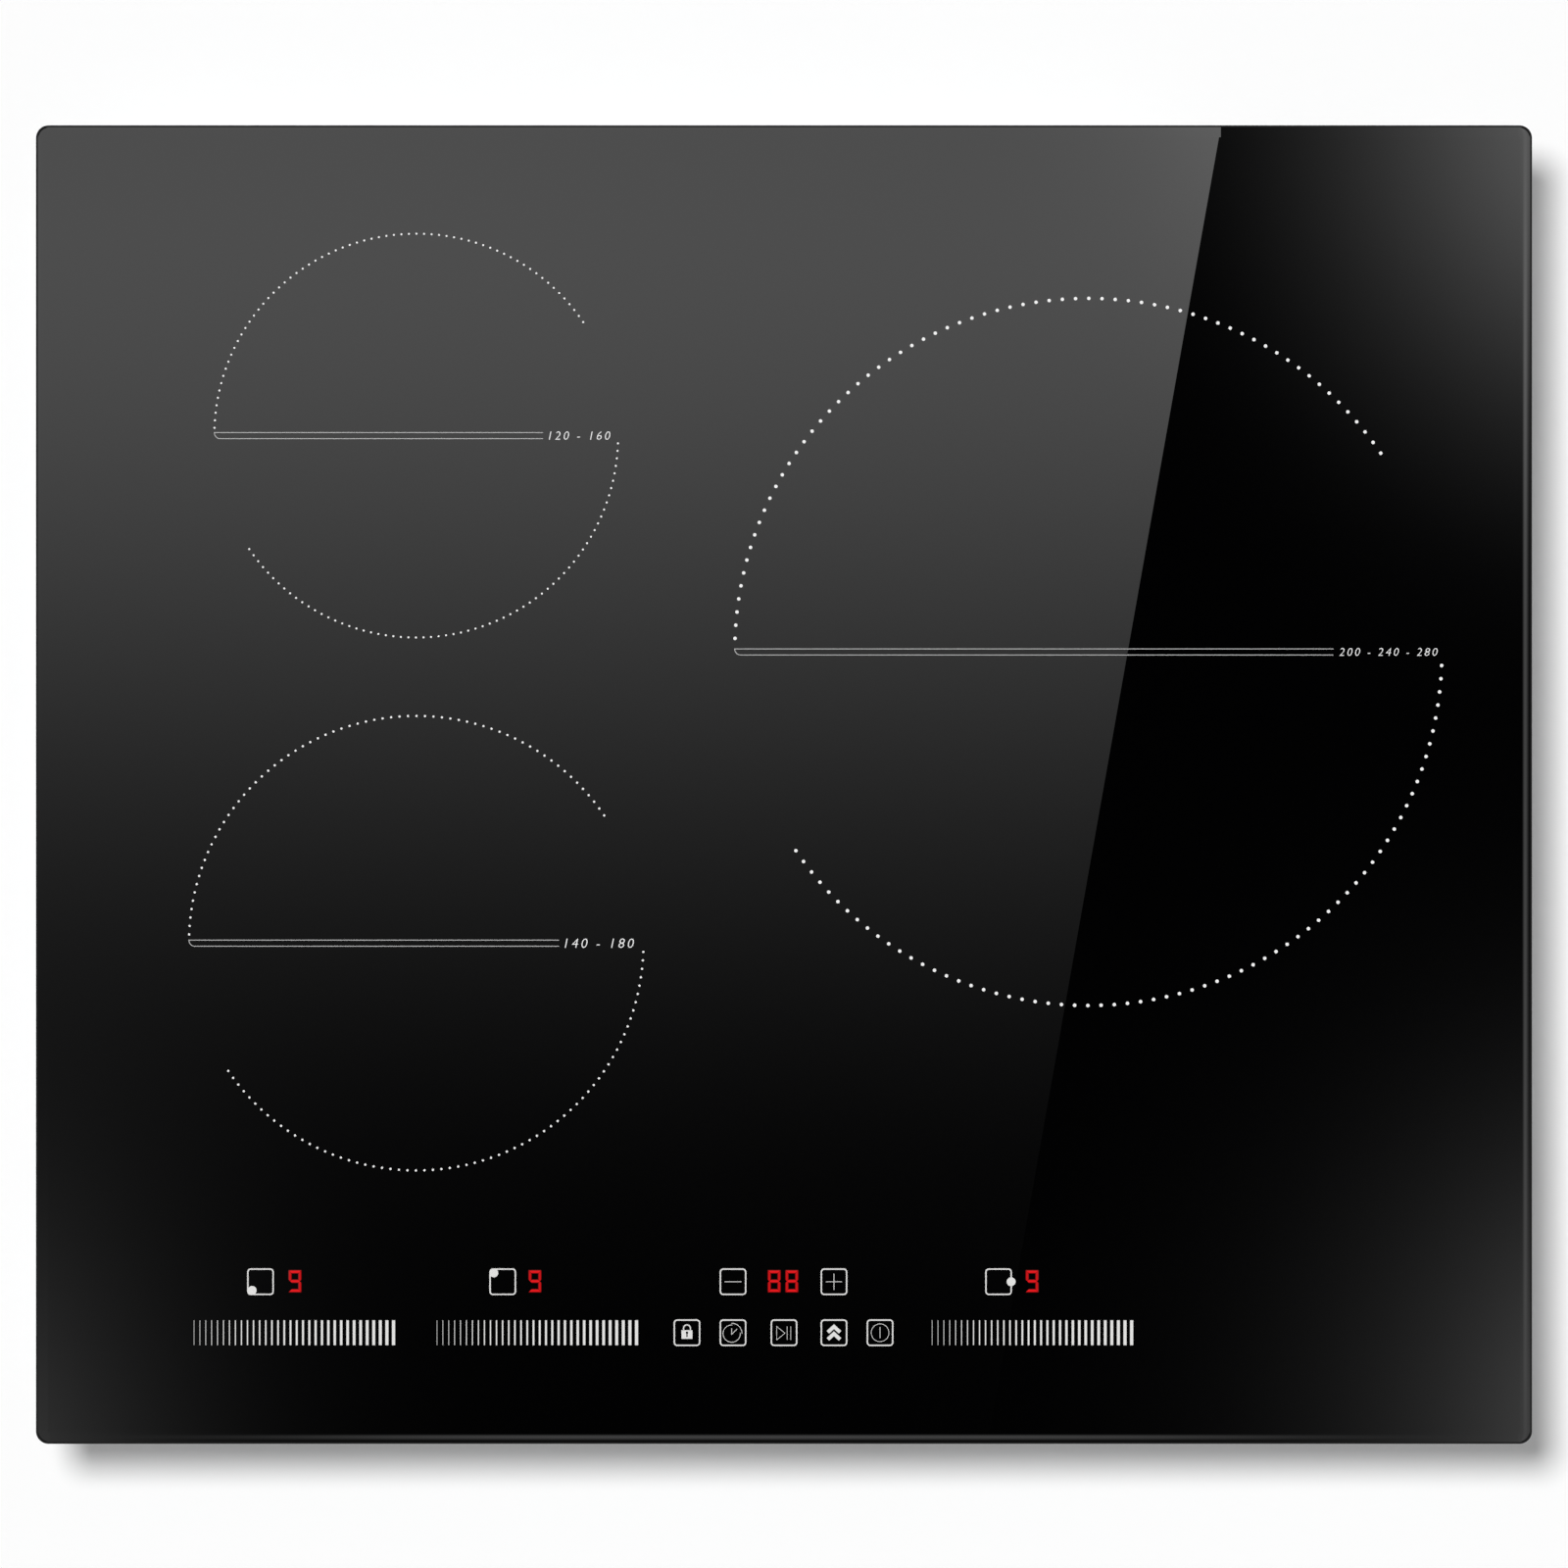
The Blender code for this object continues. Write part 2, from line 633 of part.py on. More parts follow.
def glass_panel():
    """A plate whose upper edge falls away in a quarter ellipse, down to a small arris underneath."""
    edge_z = GLASS_TOP - GLASS_EDGE_DROP
    sections = [(GLASS_LENGTH - 2 * GLASS_ARRIS, GLASS_WIDTH - 2 * GLASS_ARRIS, GLASS_UNDER),
                (GLASS_LENGTH, GLASS_WIDTH, GLASS_UNDER + GLASS_ARRIS)]
    for step in range(CORNER_SEGMENTS + 1):
        angle = math.pi / 2 * step / CORNER_SEGMENTS
        run = GLASS_EDGE_RUN * (1 - math.cos(angle))
        z = edge_z + GLASS_EDGE_DROP * math.sin(angle)
        sections.append((GLASS_LENGTH - 2 * run, GLASS_WIDTH - 2 * run, z))
    piece("glass_panel", loft(rounded_ring_stack(sections, GLASS_CORNER - GLASS_ARRIS)), "glass")


def flat_ring(length, width, ring_width, corner, z0, z1):
    """A ring of rectangular section inside the given outer length and width."""
    inner = (length - 2 * ring_width, width - 2 * ring_width)
    sections = [(length, width, z0), (length, width, z1), (*inner, z1), (*inner, z0)]
    return loft(rounded_ring_stack(sections, corner), closed=True)


def rim_seal():
    length = GLASS_LENGTH - 2 * SEAL_SETBACK
    width = GLASS_WIDTH - 2 * SEAL_SETBACK
    shape = flat_ring(length, width, SEAL_WIDTH, GLASS_CORNER, WORKTOP_Z, WORKTOP_Z + SEAL_THICKNESS)
    piece("rim_seal", shape, "foam")


def glass_adhesive():
    z0, z1 = FRAME_TOP + FIT, GLASS_UNDER - FIT
    shape = flat_ring(FRAME_LENGTH, FRAME_WIDTH, ADHESIVE_WIDTH, TRAY_CORNER, z0, z1)
    piece("glass_adhesive", shape, "silicone")


def glass_frame():
    """An angle-section ring: its top is glued to the glass and its flange hangs round the tray."""
    ring = (FRAME_LENGTH - 2 * FRAME_RING_WIDTH, FRAME_WIDTH - 2 * FRAME_RING_WIDTH)
    flange = (FRAME_LENGTH - 2 * FRAME_SHEET, FRAME_WIDTH - 2 * FRAME_SHEET)
    under = FRAME_TOP - FRAME_SHEET
    sections = [(FRAME_LENGTH, FRAME_WIDTH, FRAME_BOTTOM), (FRAME_LENGTH, FRAME_WIDTH, FRAME_TOP),
                (*ring, FRAME_TOP), (*ring, under), (*flange, under), (*flange, FRAME_BOTTOM)]
    corner = TRAY_CORNER + FIT + FRAME_SHEET
    piece("glass_frame", loft(rounded_ring_stack(sections, corner), closed=True), "steel")


# Base tray

def pan(length, width, corner, bend, z0, z1, sheet):
    """An open pan of one sheet thickness with a round bend between its floor and its walls."""
    outer, inner = [], []
    for step in range(BEND_SEGMENTS + 1):
        angle = math.pi / 2 * step / BEND_SEGMENTS
        for row, offset in ((outer, 0.0), (inner, sheet)):
            inset = offset + (bend - offset) * (1 - math.sin(angle))
            z = z0 + offset + (bend - offset) * (1 - math.cos(angle))
            row.append((length - 2 * inset, width - 2 * inset, z))
    sections = outer + [(length, width, z1), (length - 2 * sheet, width - 2 * sheet, z1)] + inner[::-1]
    return loft(rounded_ring_stack(sections, corner - bend))


def pocket_shell():
    """The sheet round the terminal pocket; its open sides end inside the tray's floor and rear wall."""
    return block(POCKET_X0 - TRAY_SHEET, POCKET_X1 + TRAY_SHEET, POCKET_Y - TRAY_SHEET,
                 HOUSING_WIDTH / 2 - TRAY_SHEET / 2, TRAY_SHEET / 2, POCKET_HEIGHT + TRAY_SHEET)


def pocket_void():
    shape = block(POCKET_X0, POCKET_X1, POCKET_Y, HOUSING_WIDTH / 2 + FIT, -FIT, POCKET_HEIGHT)
    passage = circle(HARNESS_RADIUS + HARNESS_ROOM, SMALL_SEGMENTS, POCKET_X, HARNESS_Y)
    return fused(shape, prism(passage, POCKET_HEIGHT - SINK, POCKET_HEIGHT + 2 * TRAY_SHEET))


def bead_places():
    """Centre, length and direction of each pressed bead of the floor, where no foot stands."""
    front = -HOUSING_WIDTH / 2 + BEAD_INSET
    behind_controls = LEFT_SIDE.y0 - BEAD_INSET - BEAD_WIDTH / 2
    long_run = HOUSING_LENGTH - 2 * BEAD_END_GAP
    between_boards = (LEFT_SIDE.board_x + BOARD_WIDTH + RIGHT_SIDE.x0) / 2
    beside_filter = (max(RIGHT_SIDE.x1, FILTER_X + FILTER_WIDTH) + HOUSING_LENGTH / 2) / 2
    board_y = LEFT_SIDE.board_y + BOARD_LENGTH / 2
    return [(0.0, front, long_run, False), (0.0, behind_controls, long_run, False),
            (between_boards, board_y, BOARD_LENGTH - BEAD_END_GAP, True),
            (beside_filter, board_y, BOARD_LENGTH - BEAD_END_GAP, True)]


def beads(width_change, z0, z1):
    return [prism(slot(length + width_change, BEAD_WIDTH + width_change, x, y, upright), z0, z1)
            for x, y, length, upright in bead_places()]


def intake_grilles():
    """Parallel slots of the floor under each blower, each as long as the intake circle lets it be."""
    cutters = []
    half = int(INTAKE_RADIUS / GRILLE_SLOT_PITCH)
    for side in SIDES:
        x, y = blower_axis(side)
        for row in range(-half, half + 1):
            offset = row * GRILLE_SLOT_PITCH
            chord = 2 * math.sqrt(INTAKE_RADIUS ** 2 - offset ** 2)
            if chord > 2 * GRILLE_SLOT_WIDTH:
                cutters.append(prism(slot(chord, GRILLE_SLOT_WIDTH, x, y + offset), -FIT, TRAY_SHEET + FIT))
    return cutters


def outlet_slots():
    """Upright slots of the front wall, in line with each heatsink."""
    cutters = []
    middle_z = OUTLET_SLOT_LIFT + OUTLET_SLOT_HEIGHT / 2
    for side in SIDES:
        for column in range(OUTLET_SLOTS):
            x = heatsink_x(side) + (column - (OUTLET_SLOTS - 1) / 2) * OUTLET_SLOT_PITCH
            outline = slot(OUTLET_SLOT_HEIGHT, OUTLET_SLOT_WIDTH, x, middle_z, upright=True)
            opening = tipped(prism(outline, -TRAY_SHEET, 2 * TRAY_SHEET))
            cutters.append(moved(opening, y=TRAY_SHEET - HOUSING_WIDTH / 2))
    return cutters


def bracket_places():
    """Name, x of the tray wall, y and turn of each fixing bracket."""
    places = []
    for depth, y in (("front", -BRACKET_FROM_MIDDLE), ("rear", BRACKET_FROM_MIDDLE)):
        places.append((f"{depth}_left", -HOUSING_LENGTH / 2, y, math.pi))
        places.append((f"{depth}_right", HOUSING_LENGTH / 2, y, 0.0))
    return places


def bracket_screw_holes():
    holes = []
    for _, x, y, _ in bracket_places():
        hole = prism(circle(SCREW_RADIUS + FIT), -2 * TRAY_SHEET, 2 * TRAY_SHEET)
        bmesh.ops.rotate(hole, verts=hole.verts, matrix=Matrix.Rotation(math.pi / 2, 3, "Y"))
        holes.append(moved(hole, x, y, BRACKET_SCREW_Z))
    return holes


def base_tray():
    shape = pan(HOUSING_LENGTH, HOUSING_WIDTH, TRAY_CORNER, TRAY_BEND, 0.0, TRAY_TOP, TRAY_SHEET)
    ridges = beads(2 * TRAY_SHEET, TRAY_SHEET / 2, TRAY_SHEET + BEAD_HEIGHT)
    shape = fused(shape, together(pocket_shell(), *ridges))
    shape = cut(shape, together(pocket_void(), *beads(0.0, -FIT, BEAD_HEIGHT)))
    shape = cut(shape, together(*intake_grilles(), *outlet_slots(), *bracket_screw_holes()))
    piece("base_tray", shape, "galvanised")


# Mains connection

def terminal_housing():
    """A box without a floor that fills the pocket, with a cable entry behind and a wire passage on top."""
    x0, x1 = POCKET_X0 + FIT, POCKET_X1 - FIT
    y0, y1 = POCKET_Y + FIT, HOUSING_WIDTH / 2
    z0, z1 = BOX_WALL + FIT, POCKET_HEIGHT - FIT
    wall = BOX_WALL
    outer = rectangle(x0, x1, y0, y1)
    inner = rectangle(x0 + wall, x1 - wall, y0 + wall, y1 - wall)
    rings = [[(x, y, z) for x, y in outline] for outline, z in
             ((outer, z1), (outer, z0), (inner, z0), (inner, z1 - wall))]
    entry = tipped(prism(circle(GROMMET_BODY + FIT, ROUND_SEGMENTS), -2 * wall, 2 * wall))
    passage = prism(circle(HARNESS_RADIUS + FIT), -2 * wall, 2 * wall)
    holes = together(moved(entry, POCKET_X, y1, GROMMET_Z), moved(passage, POCKET_X, HARNESS_Y, z1))
    piece("terminal_housing", cut(loft(rings), holes), "grey_plastic")


def terminal_cover():
    """The lid under the box, flush with the tray, with two ribs that locate it."""
    outline = rectangle(POCKET_X0 + FIT, POCKET_X1 - FIT, POCKET_Y + FIT, HOUSING_WIDTH / 2)
    rib_x0 = POCKET_X0 + 2 * FIT + BOX_WALL
    rib_x1 = POCKET_X1 - 2 * FIT - BOX_WALL
    rib_y0 = POCKET_Y + 4 * BOX_WALL
    rib_y1 = HOUSING_WIDTH / 2 - 4 * BOX_WALL
    ribs = [(rectangle(rib_x0, rib_x0 + BOX_WALL, rib_y0, rib_y1), 3 * BOX_WALL),
            (rectangle(rib_x1 - BOX_WALL, rib_x1, rib_y0, rib_y1), 3 * BOX_WALL)]
    piece("terminal_cover", relief(outline, 0.0, BOX_WALL, raised=ribs), "grey_plastic")


def terminal_block():
    """A bar under the roof of the box, with a row of clamp towers that point down."""
    z1 = POCKET_HEIGHT - FIT - BOX_WALL - FIT
    z0 = z1 - BLOCK_HEIGHT
    y0 = HARNESS_Y + HARNESS_RADIUS + FIT
    outline = rectangle(POCKET_X - BLOCK_LENGTH / 2, POCKET_X + BLOCK_LENGTH / 2, y0, y0 + BLOCK_DEPTH)
    pitch = BLOCK_LENGTH / BLOCK_POLES
    margin = pitch / 8
    towers = []
    for pole in range(BLOCK_POLES):
        x = POCKET_X - BLOCK_LENGTH / 2 + pole * pitch
        tower = rectangle(x + margin, x + pitch - margin, y0 + margin, y0 + BLOCK_DEPTH - margin)
        towers.append((tower, z0 - POLE_HEIGHT))
    piece("terminal_block", relief(outline, z0, z1, lowered=towers), "white_plastic")


def cable_grommet():
    """A bush with a flange on each side of the box's rear wall; its bore is the cable entry."""
    out = FIT + GROMMET_FLANGE_THICKNESS
    inside = -BOX_WALL - out
    profile = [(GROMMET_BORE, out), (GROMMET_BORE, inside), (GROMMET_INNER_FLANGE, inside),
               (GROMMET_INNER_FLANGE, -BOX_WALL - FIT), (GROMMET_BODY, -BOX_WALL - FIT),
               (GROMMET_BODY, FIT), (GROMMET_FLANGE, FIT), (GROMMET_FLANGE, out)]
    shape = turned([(radius, -z) for radius, z in profile], ROUND_SEGMENTS)
    piece("cable_grommet", tipped(shape), "rubber", location=(POCKET_X, HOUSING_WIDTH / 2, GROMMET_Z))


def mains_harness():
    """Up from the terminals through the roof of the box, then over and down to the filter board."""
    z_low = POCKET_HEIGHT - FIT - BOX_WALL - FIT - BLOCK_HEIGHT
    z_turn = POCKET_HEIGHT + TRAY_SHEET
    peak = DECK_UNDER - HARNESS_RADIUS - HARNESS_HEADROOM
    y_end = harness_connector_y()
    points = arch((POCKET_X, HARNESS_Y, z_low), (POCKET_X, y_end, z_low), (z_turn - z_low, peak - z_turn))
    points[-1] = (POCKET_X, y_end, BOARD_TOP + CONNECTOR_HEIGHT + FIT)
    wire("mains_harness", points, HARNESS_RADIUS, "rubber")


# Fixing brackets

def fixing_brackets():
    """Angles against the tray's side walls, at the bottom of their travel, each on its screw."""
    x0 = FIT
    x1 = FIT + BRACKET_SHEET
    bottom = -BRACKET_BELOW
    reach = x1 + BRACKET_REACH
    profile = [(x0, BRACKET_ABOVE), (x0, bottom + BRACKET_BEND), (x0 + BRACKET_BEND, bottom), (reach, bottom),
               (reach, bottom + BRACKET_SHEET), (x1 + BRACKET_BEND, bottom + BRACKET_SHEET),
               (x1, bottom + BRACKET_SHEET + BRACKET_BEND), (x1, BRACKET_ABOVE)]
    angle = tipped(prism(profile, -BRACKET_WIDTH / 2, BRACKET_WIDTH / 2))
    slot_length = BRACKET_TRAVEL + 2 * SLOT_HALF_WIDTH
    guide = slot(slot_length, 2 * SLOT_HALF_WIDTH, BRACKET_TRAVEL / 2, segments=GUIDE_SLOT_SEGMENTS)
    opening = prism(guide, -FIT, x1 + FIT)
    bmesh.ops.rotate(opening, verts=opening.verts, matrix=Matrix.Rotation(math.pi / 2, 3, "Y"))
    bracket = mesh_of("fixing_bracket", cut(angle, opening))
    head = x1 + FIT
    top = head + SCREW_HEAD_HEIGHT
    wide = SCREW_HEAD_RADIUS
    screw = turned([(0, -SCREW_TAIL), (SCREW_RADIUS, -SCREW_TAIL), (SCREW_RADIUS, head), (wide, head),
                    (wide, top - SCREW_HEAD_CHAMFER), (wide - SCREW_HEAD_CHAMFER, top), (0, top)], SMALL_SEGMENTS)
    bmesh.ops.rotate(screw, verts=screw.verts, matrix=Matrix.Rotation(math.pi / 2, 3, "Y"))
    bolt = mesh_of("bracket_screw", screw)
    for name, x, y, turn in bracket_places():
        location = (x, y, BRACKET_SCREW_Z)
        place(f"fixing_bracket_{name}", bracket, "galvanised", location=location, turn=turn)
        place(f"bracket_screw_{name}", bolt, "zinc_screw", location=location, turn=turn)


# Coils

def former_radius(zone):
    return zone.radius - FORMER_MARGIN


def plug_x(side):
    """The column of plugs between a board's heatsink and its tall parts."""
    return side.board_x + BOARD_INSET + HEATSINK_WIDTH + CONNECTOR_GAP + CONNECTOR_SIZE / 2


def plug_y(side, zone):
    if zone is REAR_LEFT:
        return side.board_y + BOARD_LENGTH - REAR_LEFT_PLUG_FROM_REAR
    return side.board_y + (FRONT_LEFT_PLUG_FROM_FRONT if zone is FRONT_LEFT else RIGHT_PLUG_FROM_FRONT)


def lead_exit(side, zone):
    """Where a coil's lead goes down near its rim, above the column of plugs: behind its centre, or before it."""
    reach = former_radius(zone) - FORMER_RIM - LEAD_FROM_EDGE - LEAD_RADIUS
    aside = plug_x(side) - zone.x
    along = math.sqrt(reach ** 2 - aside ** 2)
    return plug_x(side), zone.y + (along if zone is FRONT_LEFT else -along)


def coil_lead(side, zone):
    """From the plug on the board up through the deck, upright at both ends."""
    x, y = lead_exit(side, zone)
    low = (plug_x(side), plug_y(side, zone), BOARD_TOP + CONNECTOR_HEIGHT + FIT)
    high = (x, y, FERRITE_TOP - FIT)
    pull = Vector((0.0, 0.0, (high[2] - low[2]) * LEAD_PULL))
    points = bezier(low, Vector(low) + pull, Vector(high) - pull, high, LEAD_STEPS)
    wire(f"coil_lead_{zone.name}", points, LEAD_RADIUS, "lead")


def coil_former(zone):
    """A dish for the winding, with ferrite bars like spokes under it."""
    radius = former_radius(zone)
    bore = SENSOR_STEM_RADIUS + FIT
    profile = [(bore, FERRITE_TOP), (radius, FERRITE_TOP), (radius, WINDING_TOP), (radius - FORMER_RIM, WINDING_TOP),
               (radius - FORMER_RIM, FORMER_TOP), (bore, FORMER_TOP)]
    bars = []
    for index in range(FERRITES):
        bar = block(bore + FERRITE_WIDTH, radius - FORMER_RIM, -FERRITE_WIDTH / 2, FERRITE_WIDTH / 2,
                    FERRITE_TOP - FERRITE_HEIGHT, FERRITE_TOP + SINK)
        angle = 2 * math.pi * (index + 0.5) / FERRITES
        bmesh.ops.rotate(bar, verts=bar.verts, matrix=Matrix.Rotation(angle, 3, "Z"))
        bars.append(bar)
    return fused(turned(profile, WIDE_SEGMENTS), together(*bars))


def coil_winding(zone):
    """One flat band wound as a spiral from the former's hub to its rim."""
    turns = LARGE_COIL_TURNS if zone is RIGHT else SMALL_COIL_TURNS
    outer = former_radius(zone) - FORMER_RIM - FIT
    pitch = (outer - WINDING_INNER_RADIUS) / (turns + 1)
    half = (pitch - WINDING_STRAND_GAP) / 2
    per_turn = LARGE_COIL_SEGMENTS if zone is RIGHT else SMALL_COIL_SEGMENTS
    z0, z1 = WINDING_TOP - WINDING_THICKNESS, WINDING_TOP
    rings = []
    for step in range(turns * per_turn + 1):
        angle = 2 * math.pi * step / per_turn
        radius = WINDING_INNER_RADIUS + pitch * (0.5 + step / per_turn)
        rings.append([(r * math.cos(angle), r * math.sin(angle), z) for r, z in
                      ((radius - half, z0), (radius + half, z0), (radius + half, z1), (radius - half, z1))])
    return loft(rings)


def coil_insulator(zone):
    bottom = INSULATOR_TOP - INSULATOR_THICKNESS
    radius = former_radius(zone)
    profile = [(INSULATOR_HOLE_RADIUS, bottom), (radius, bottom), (radius, INSULATOR_TOP),
               (INSULATOR_HOLE_RADIUS, INSULATOR_TOP)]
    return turned(profile, WIDE_SEGMENTS)


def temperature_sensor():
    """A button that touches the glass, on a stem through the former's bore."""
    head = FORMER_TOP + FIT
    profile = [(0, DECK_TOP), (SENSOR_STEM_RADIUS, DECK_TOP), (SENSOR_STEM_RADIUS, head), (SENSOR_HEAD_RADIUS, head),
               (SENSOR_HEAD_RADIUS, GLASS_UNDER - FIT), (0, GLASS_UNDER - FIT)]
    return turned(profile, SMALL_SEGMENTS)


def coils(side):
    """Each zone's coil, turned so that its lead goes down between two ferrites."""
    for zone in side.zones:
        x, y = lead_exit(side, zone)
        centre = anchor(f"zone_{zone.name}", (zone.x, zone.y, 0.0), math.atan2(y - zone.y, x - zone.x))
        piece(f"coil_former_{zone.name}", coil_former(zone), "black_plastic", parent=centre)
        piece(f"coil_winding_{zone.name}", coil_winding(zone), "copper", parent=centre)
        piece(f"coil_insulator_{zone.name}", coil_insulator(zone), "mica", parent=centre)
        piece(f"temperature_sensor_{zone.name}", temperature_sensor(), "white_plastic", parent=centre)
        coil_lead(side, zone)


def coil_deck(side):
    """An aluminium plate on four bent legs, with a hole under each sensor and each lead."""
    x0, x1, y0, y1 = side.x0, side.x1, side.y0, side.y1
    legs = []
    for left in (x0 + LEG_INSET, x1 - LEG_INSET - LEG_WIDTH):
        for front in (y0 + LEG_INSET, y1 - LEG_INSET - DECK_SHEET):
            legs.append((rectangle(left, left + LEG_WIDTH, front, front + DECK_SHEET), SEAT_Z))
    holes = []
    for zone in side.zones:
        holes.append(circle(DECK_HOLE_RADIUS, SMALL_SEGMENTS, zone.x, zone.y))
        holes.append(circle(LEAD_RADIUS + LEAD_CLEARANCE, SMALL_SEGMENTS, *lead_exit(side, zone)))
    outline = rectangle(x0, x1, y0, y1)
    piece(f"coil_deck_{side.name}", relief(outline, DECK_UNDER, DECK_TOP, lowered=legs, holes=holes), "aluminium")


# Boards, heatsinks and their carriers

def heatsink_x(side):
    return side.board_x + BOARD_INSET + HEATSINK_WIDTH / 2


def inset_corners(x0, x1, y0, y1, inset):
    return [(x, y) for x in (x0 + inset, x1 - inset) for y in (y0 + inset, y1 - inset)]


def board_carrier(side):
    """A plastic plate on feet, with bosses under the board's corners."""
    x0, x1 = side.board_x - CARRIER_MARGIN, side.board_x + BOARD_WIDTH + CARRIER_MARGIN
    y0, y1 = side.board_y - CARRIER_MARGIN, side.board_y + BOARD_LENGTH + CARRIER_MARGIN
    top = CARRIER_Z + CARRIER_SHEET
    corners = inset_corners(x0, x1, y0, y1, CARRIER_MARGIN + BOARD_INSET)
    bosses = [(circle(CARRIER_BOSS_RADIUS, POST_SEGMENTS, x, y), top + CARRIER_BOSS) for x, y in corners]
    feet = [(circle(CARRIER_BOSS_RADIUS, POST_SEGMENTS, x, y), SEAT_Z) for x, y in corners]
    shape = relief(rectangle(x0, x1, y0, y1), CARRIER_Z, top, raised=bosses, lowered=feet)
    piece(f"board_carrier_{side.name}", shape, "grey_plastic")


def on_board(x, y, length, width, height):
    """Foot and top of a box-shaped component on a board, round the given point."""
    foot = rectangle(x - length / 2, x + length / 2, y - width / 2, y + width / 2)
    return foot, BOARD_TOP + height


def connector(x, y):
    return on_board(x, y, CONNECTOR_SIZE, CONNECTOR_SIZE, CONNECTOR_HEIGHT)


def supply_y(side):
    """Where the lead between the two power boards is plugged in."""
    return side.board_y + SUPPLY_FROM_FRONT


def power_board(side):
    """A board with its capacitors, choke and connectors; the heatsink has the strip along its left edge."""
    x0, y0 = side.board_x, side.board_y
    x1, y1 = x0 + BOARD_WIDTH, y0 + BOARD_LENGTH
    raised = [connector(plug_x(side), plug_y(side, zone)) for zone in side.zones]
    column = x1 - BOARD_INSET - CONNECTOR_SIZE / 2
    raised.append(connector(column, supply_y(side)))
    if side is LEFT_SIDE:
        raised.append(connector(ribbon_x(), ribbon_end_y()))
    else:
        raised.append(connector(x0 + BOARD_INSET + CONNECTOR_SIZE / 2, supply_y(side)))
        raised.append(connector(column, y1 - SUPPLY_FROM_REAR))
    right_column = x1 - CAPACITOR_FROM_SIDE
    for row in range(CAPACITORS):
        y = y0 + CAPACITOR_FROM_FRONT + row * CAPACITOR_PITCH
        raised.append(on_board(right_column, y, CAPACITOR_LENGTH, CAPACITOR_WIDTH, CAPACITOR_HEIGHT))
    choke = circle(CHOKE_RADIUS, ROUND_SEGMENTS, right_column, y1 - CHOKE_FROM_REAR)
    raised.append((choke, BOARD_TOP + CHOKE_HEIGHT))
    outline = rectangle(x0, x1, y0, y1)
    piece(f"power_board_{side.name}", relief(outline, BOARD_Z, BOARD_TOP, raised=raised), "board")


def heatsink(side):
    """A comb-shaped extrusion along y, in line with the blower's outlet."""
    pitch = (HEATSINK_WIDTH - FIN_THICKNESS) / (HEATSINK_FINS - 1)
    left = heatsink_x(side) - HEATSINK_WIDTH / 2
    z0 = BOARD_TOP + FIT
    floor, top = z0 + HEATSINK_BASE, z0 + HEATSINK_HEIGHT
    profile = [(left + HEATSINK_WIDTH, z0)]
    for fin in reversed(range(HEATSINK_FINS)):
        x = left + fin * pitch
        profile += [(x + FIN_THICKNESS, floor)] * (fin < HEATSINK_FINS - 1)
        profile += [(x + FIN_THICKNESS, top), (x, top)]
        profile += [(x, floor)] * (fin > 0)
    profile.append((left, z0))
    rear = side.board_y + BOARD_LENGTH - BOARD_INSET
    shape = moved(tipped(prism(profile, 0.0, HEATSINK_LENGTH)), y=rear)
    piece(f"heatsink_{side.name}", shape, "aluminium")


def harness_connector_y():
    return FILTER_Y + FILTER_LENGTH - BOARD_INSET - CONNECTOR_SIZE / 2


def filter_link_y():
    return FILTER_Y + CONNECTOR_SIZE


def filter_board():
    """The mains filter, on posts of its own: a choke, a capacitor, a relay and two connectors."""
    x0, x1 = FILTER_X, FILTER_X + FILTER_WIDTH
    y0, y1 = FILTER_Y, FILTER_Y + FILTER_LENGTH
    choke_x = x1 - BOARD_INSET - FILTER_CHOKE_RADIUS
    choke = circle(FILTER_CHOKE_RADIUS, ROUND_SEGMENTS, choke_x, y0 + FILTER_CHOKE_FROM_FRONT)
    capacitor = on_board(x0 + BOARD_INSET + FILTER_CAPACITOR_LENGTH / 2, y0 + FILTER_CAPACITOR_FROM_FRONT,
                         FILTER_CAPACITOR_LENGTH, FILTER_CAPACITOR_WIDTH, FILTER_CAPACITOR_HEIGHT)
    relay = on_board(x1 - BOARD_INSET - RELAY_LENGTH / 2, y0 + RELAY_FROM_FRONT,
                     RELAY_LENGTH, RELAY_WIDTH, RELAY_HEIGHT)
    raised = [connector(POCKET_X, harness_connector_y()), connector(x0 + CONNECTOR_SIZE, filter_link_y()),
              (choke, BOARD_TOP + FILTER_CHOKE_HEIGHT), capacitor, relay]
    posts = [(circle(CARRIER_BOSS_RADIUS, POST_SEGMENTS, x, y), SEAT_Z)
             for x, y in inset_corners(x0, x1, y0, y1, BOARD_INSET)]
    shape = relief(rectangle(x0, x1, y0, y1), BOARD_Z, BOARD_TOP, raised=raised, lowered=posts)
    piece("filter_board", shape, "board")


def supply_leads():
    """Arched leads from the filter board to the right board, and on from it to the left board."""
    z = BOARD_TOP + CONNECTOR_HEIGHT + FIT
    inset = BOARD_INSET + CONNECTOR_SIZE / 2
    rear_plug = RIGHT_SIDE.board_y + BOARD_LENGTH - SUPPLY_FROM_REAR
    runs = {"right": ((FILTER_X + CONNECTOR_SIZE, filter_link_y(), z),
                      (RIGHT_SIDE.board_x + BOARD_WIDTH - inset, rear_plug, z)),
            "left": ((RIGHT_SIDE.board_x + inset, supply_y(RIGHT_SIDE), z),
                     (LEFT_SIDE.board_x + BOARD_WIDTH - inset, supply_y(LEFT_SIDE), z))}
    for name, (near, far) in runs.items():
        wire(f"supply_lead_{name}", arch(near, far, (LEAD_RADIUS, SUPPLY_ARCH)), LEAD_RADIUS, "rubber")


# Blowers

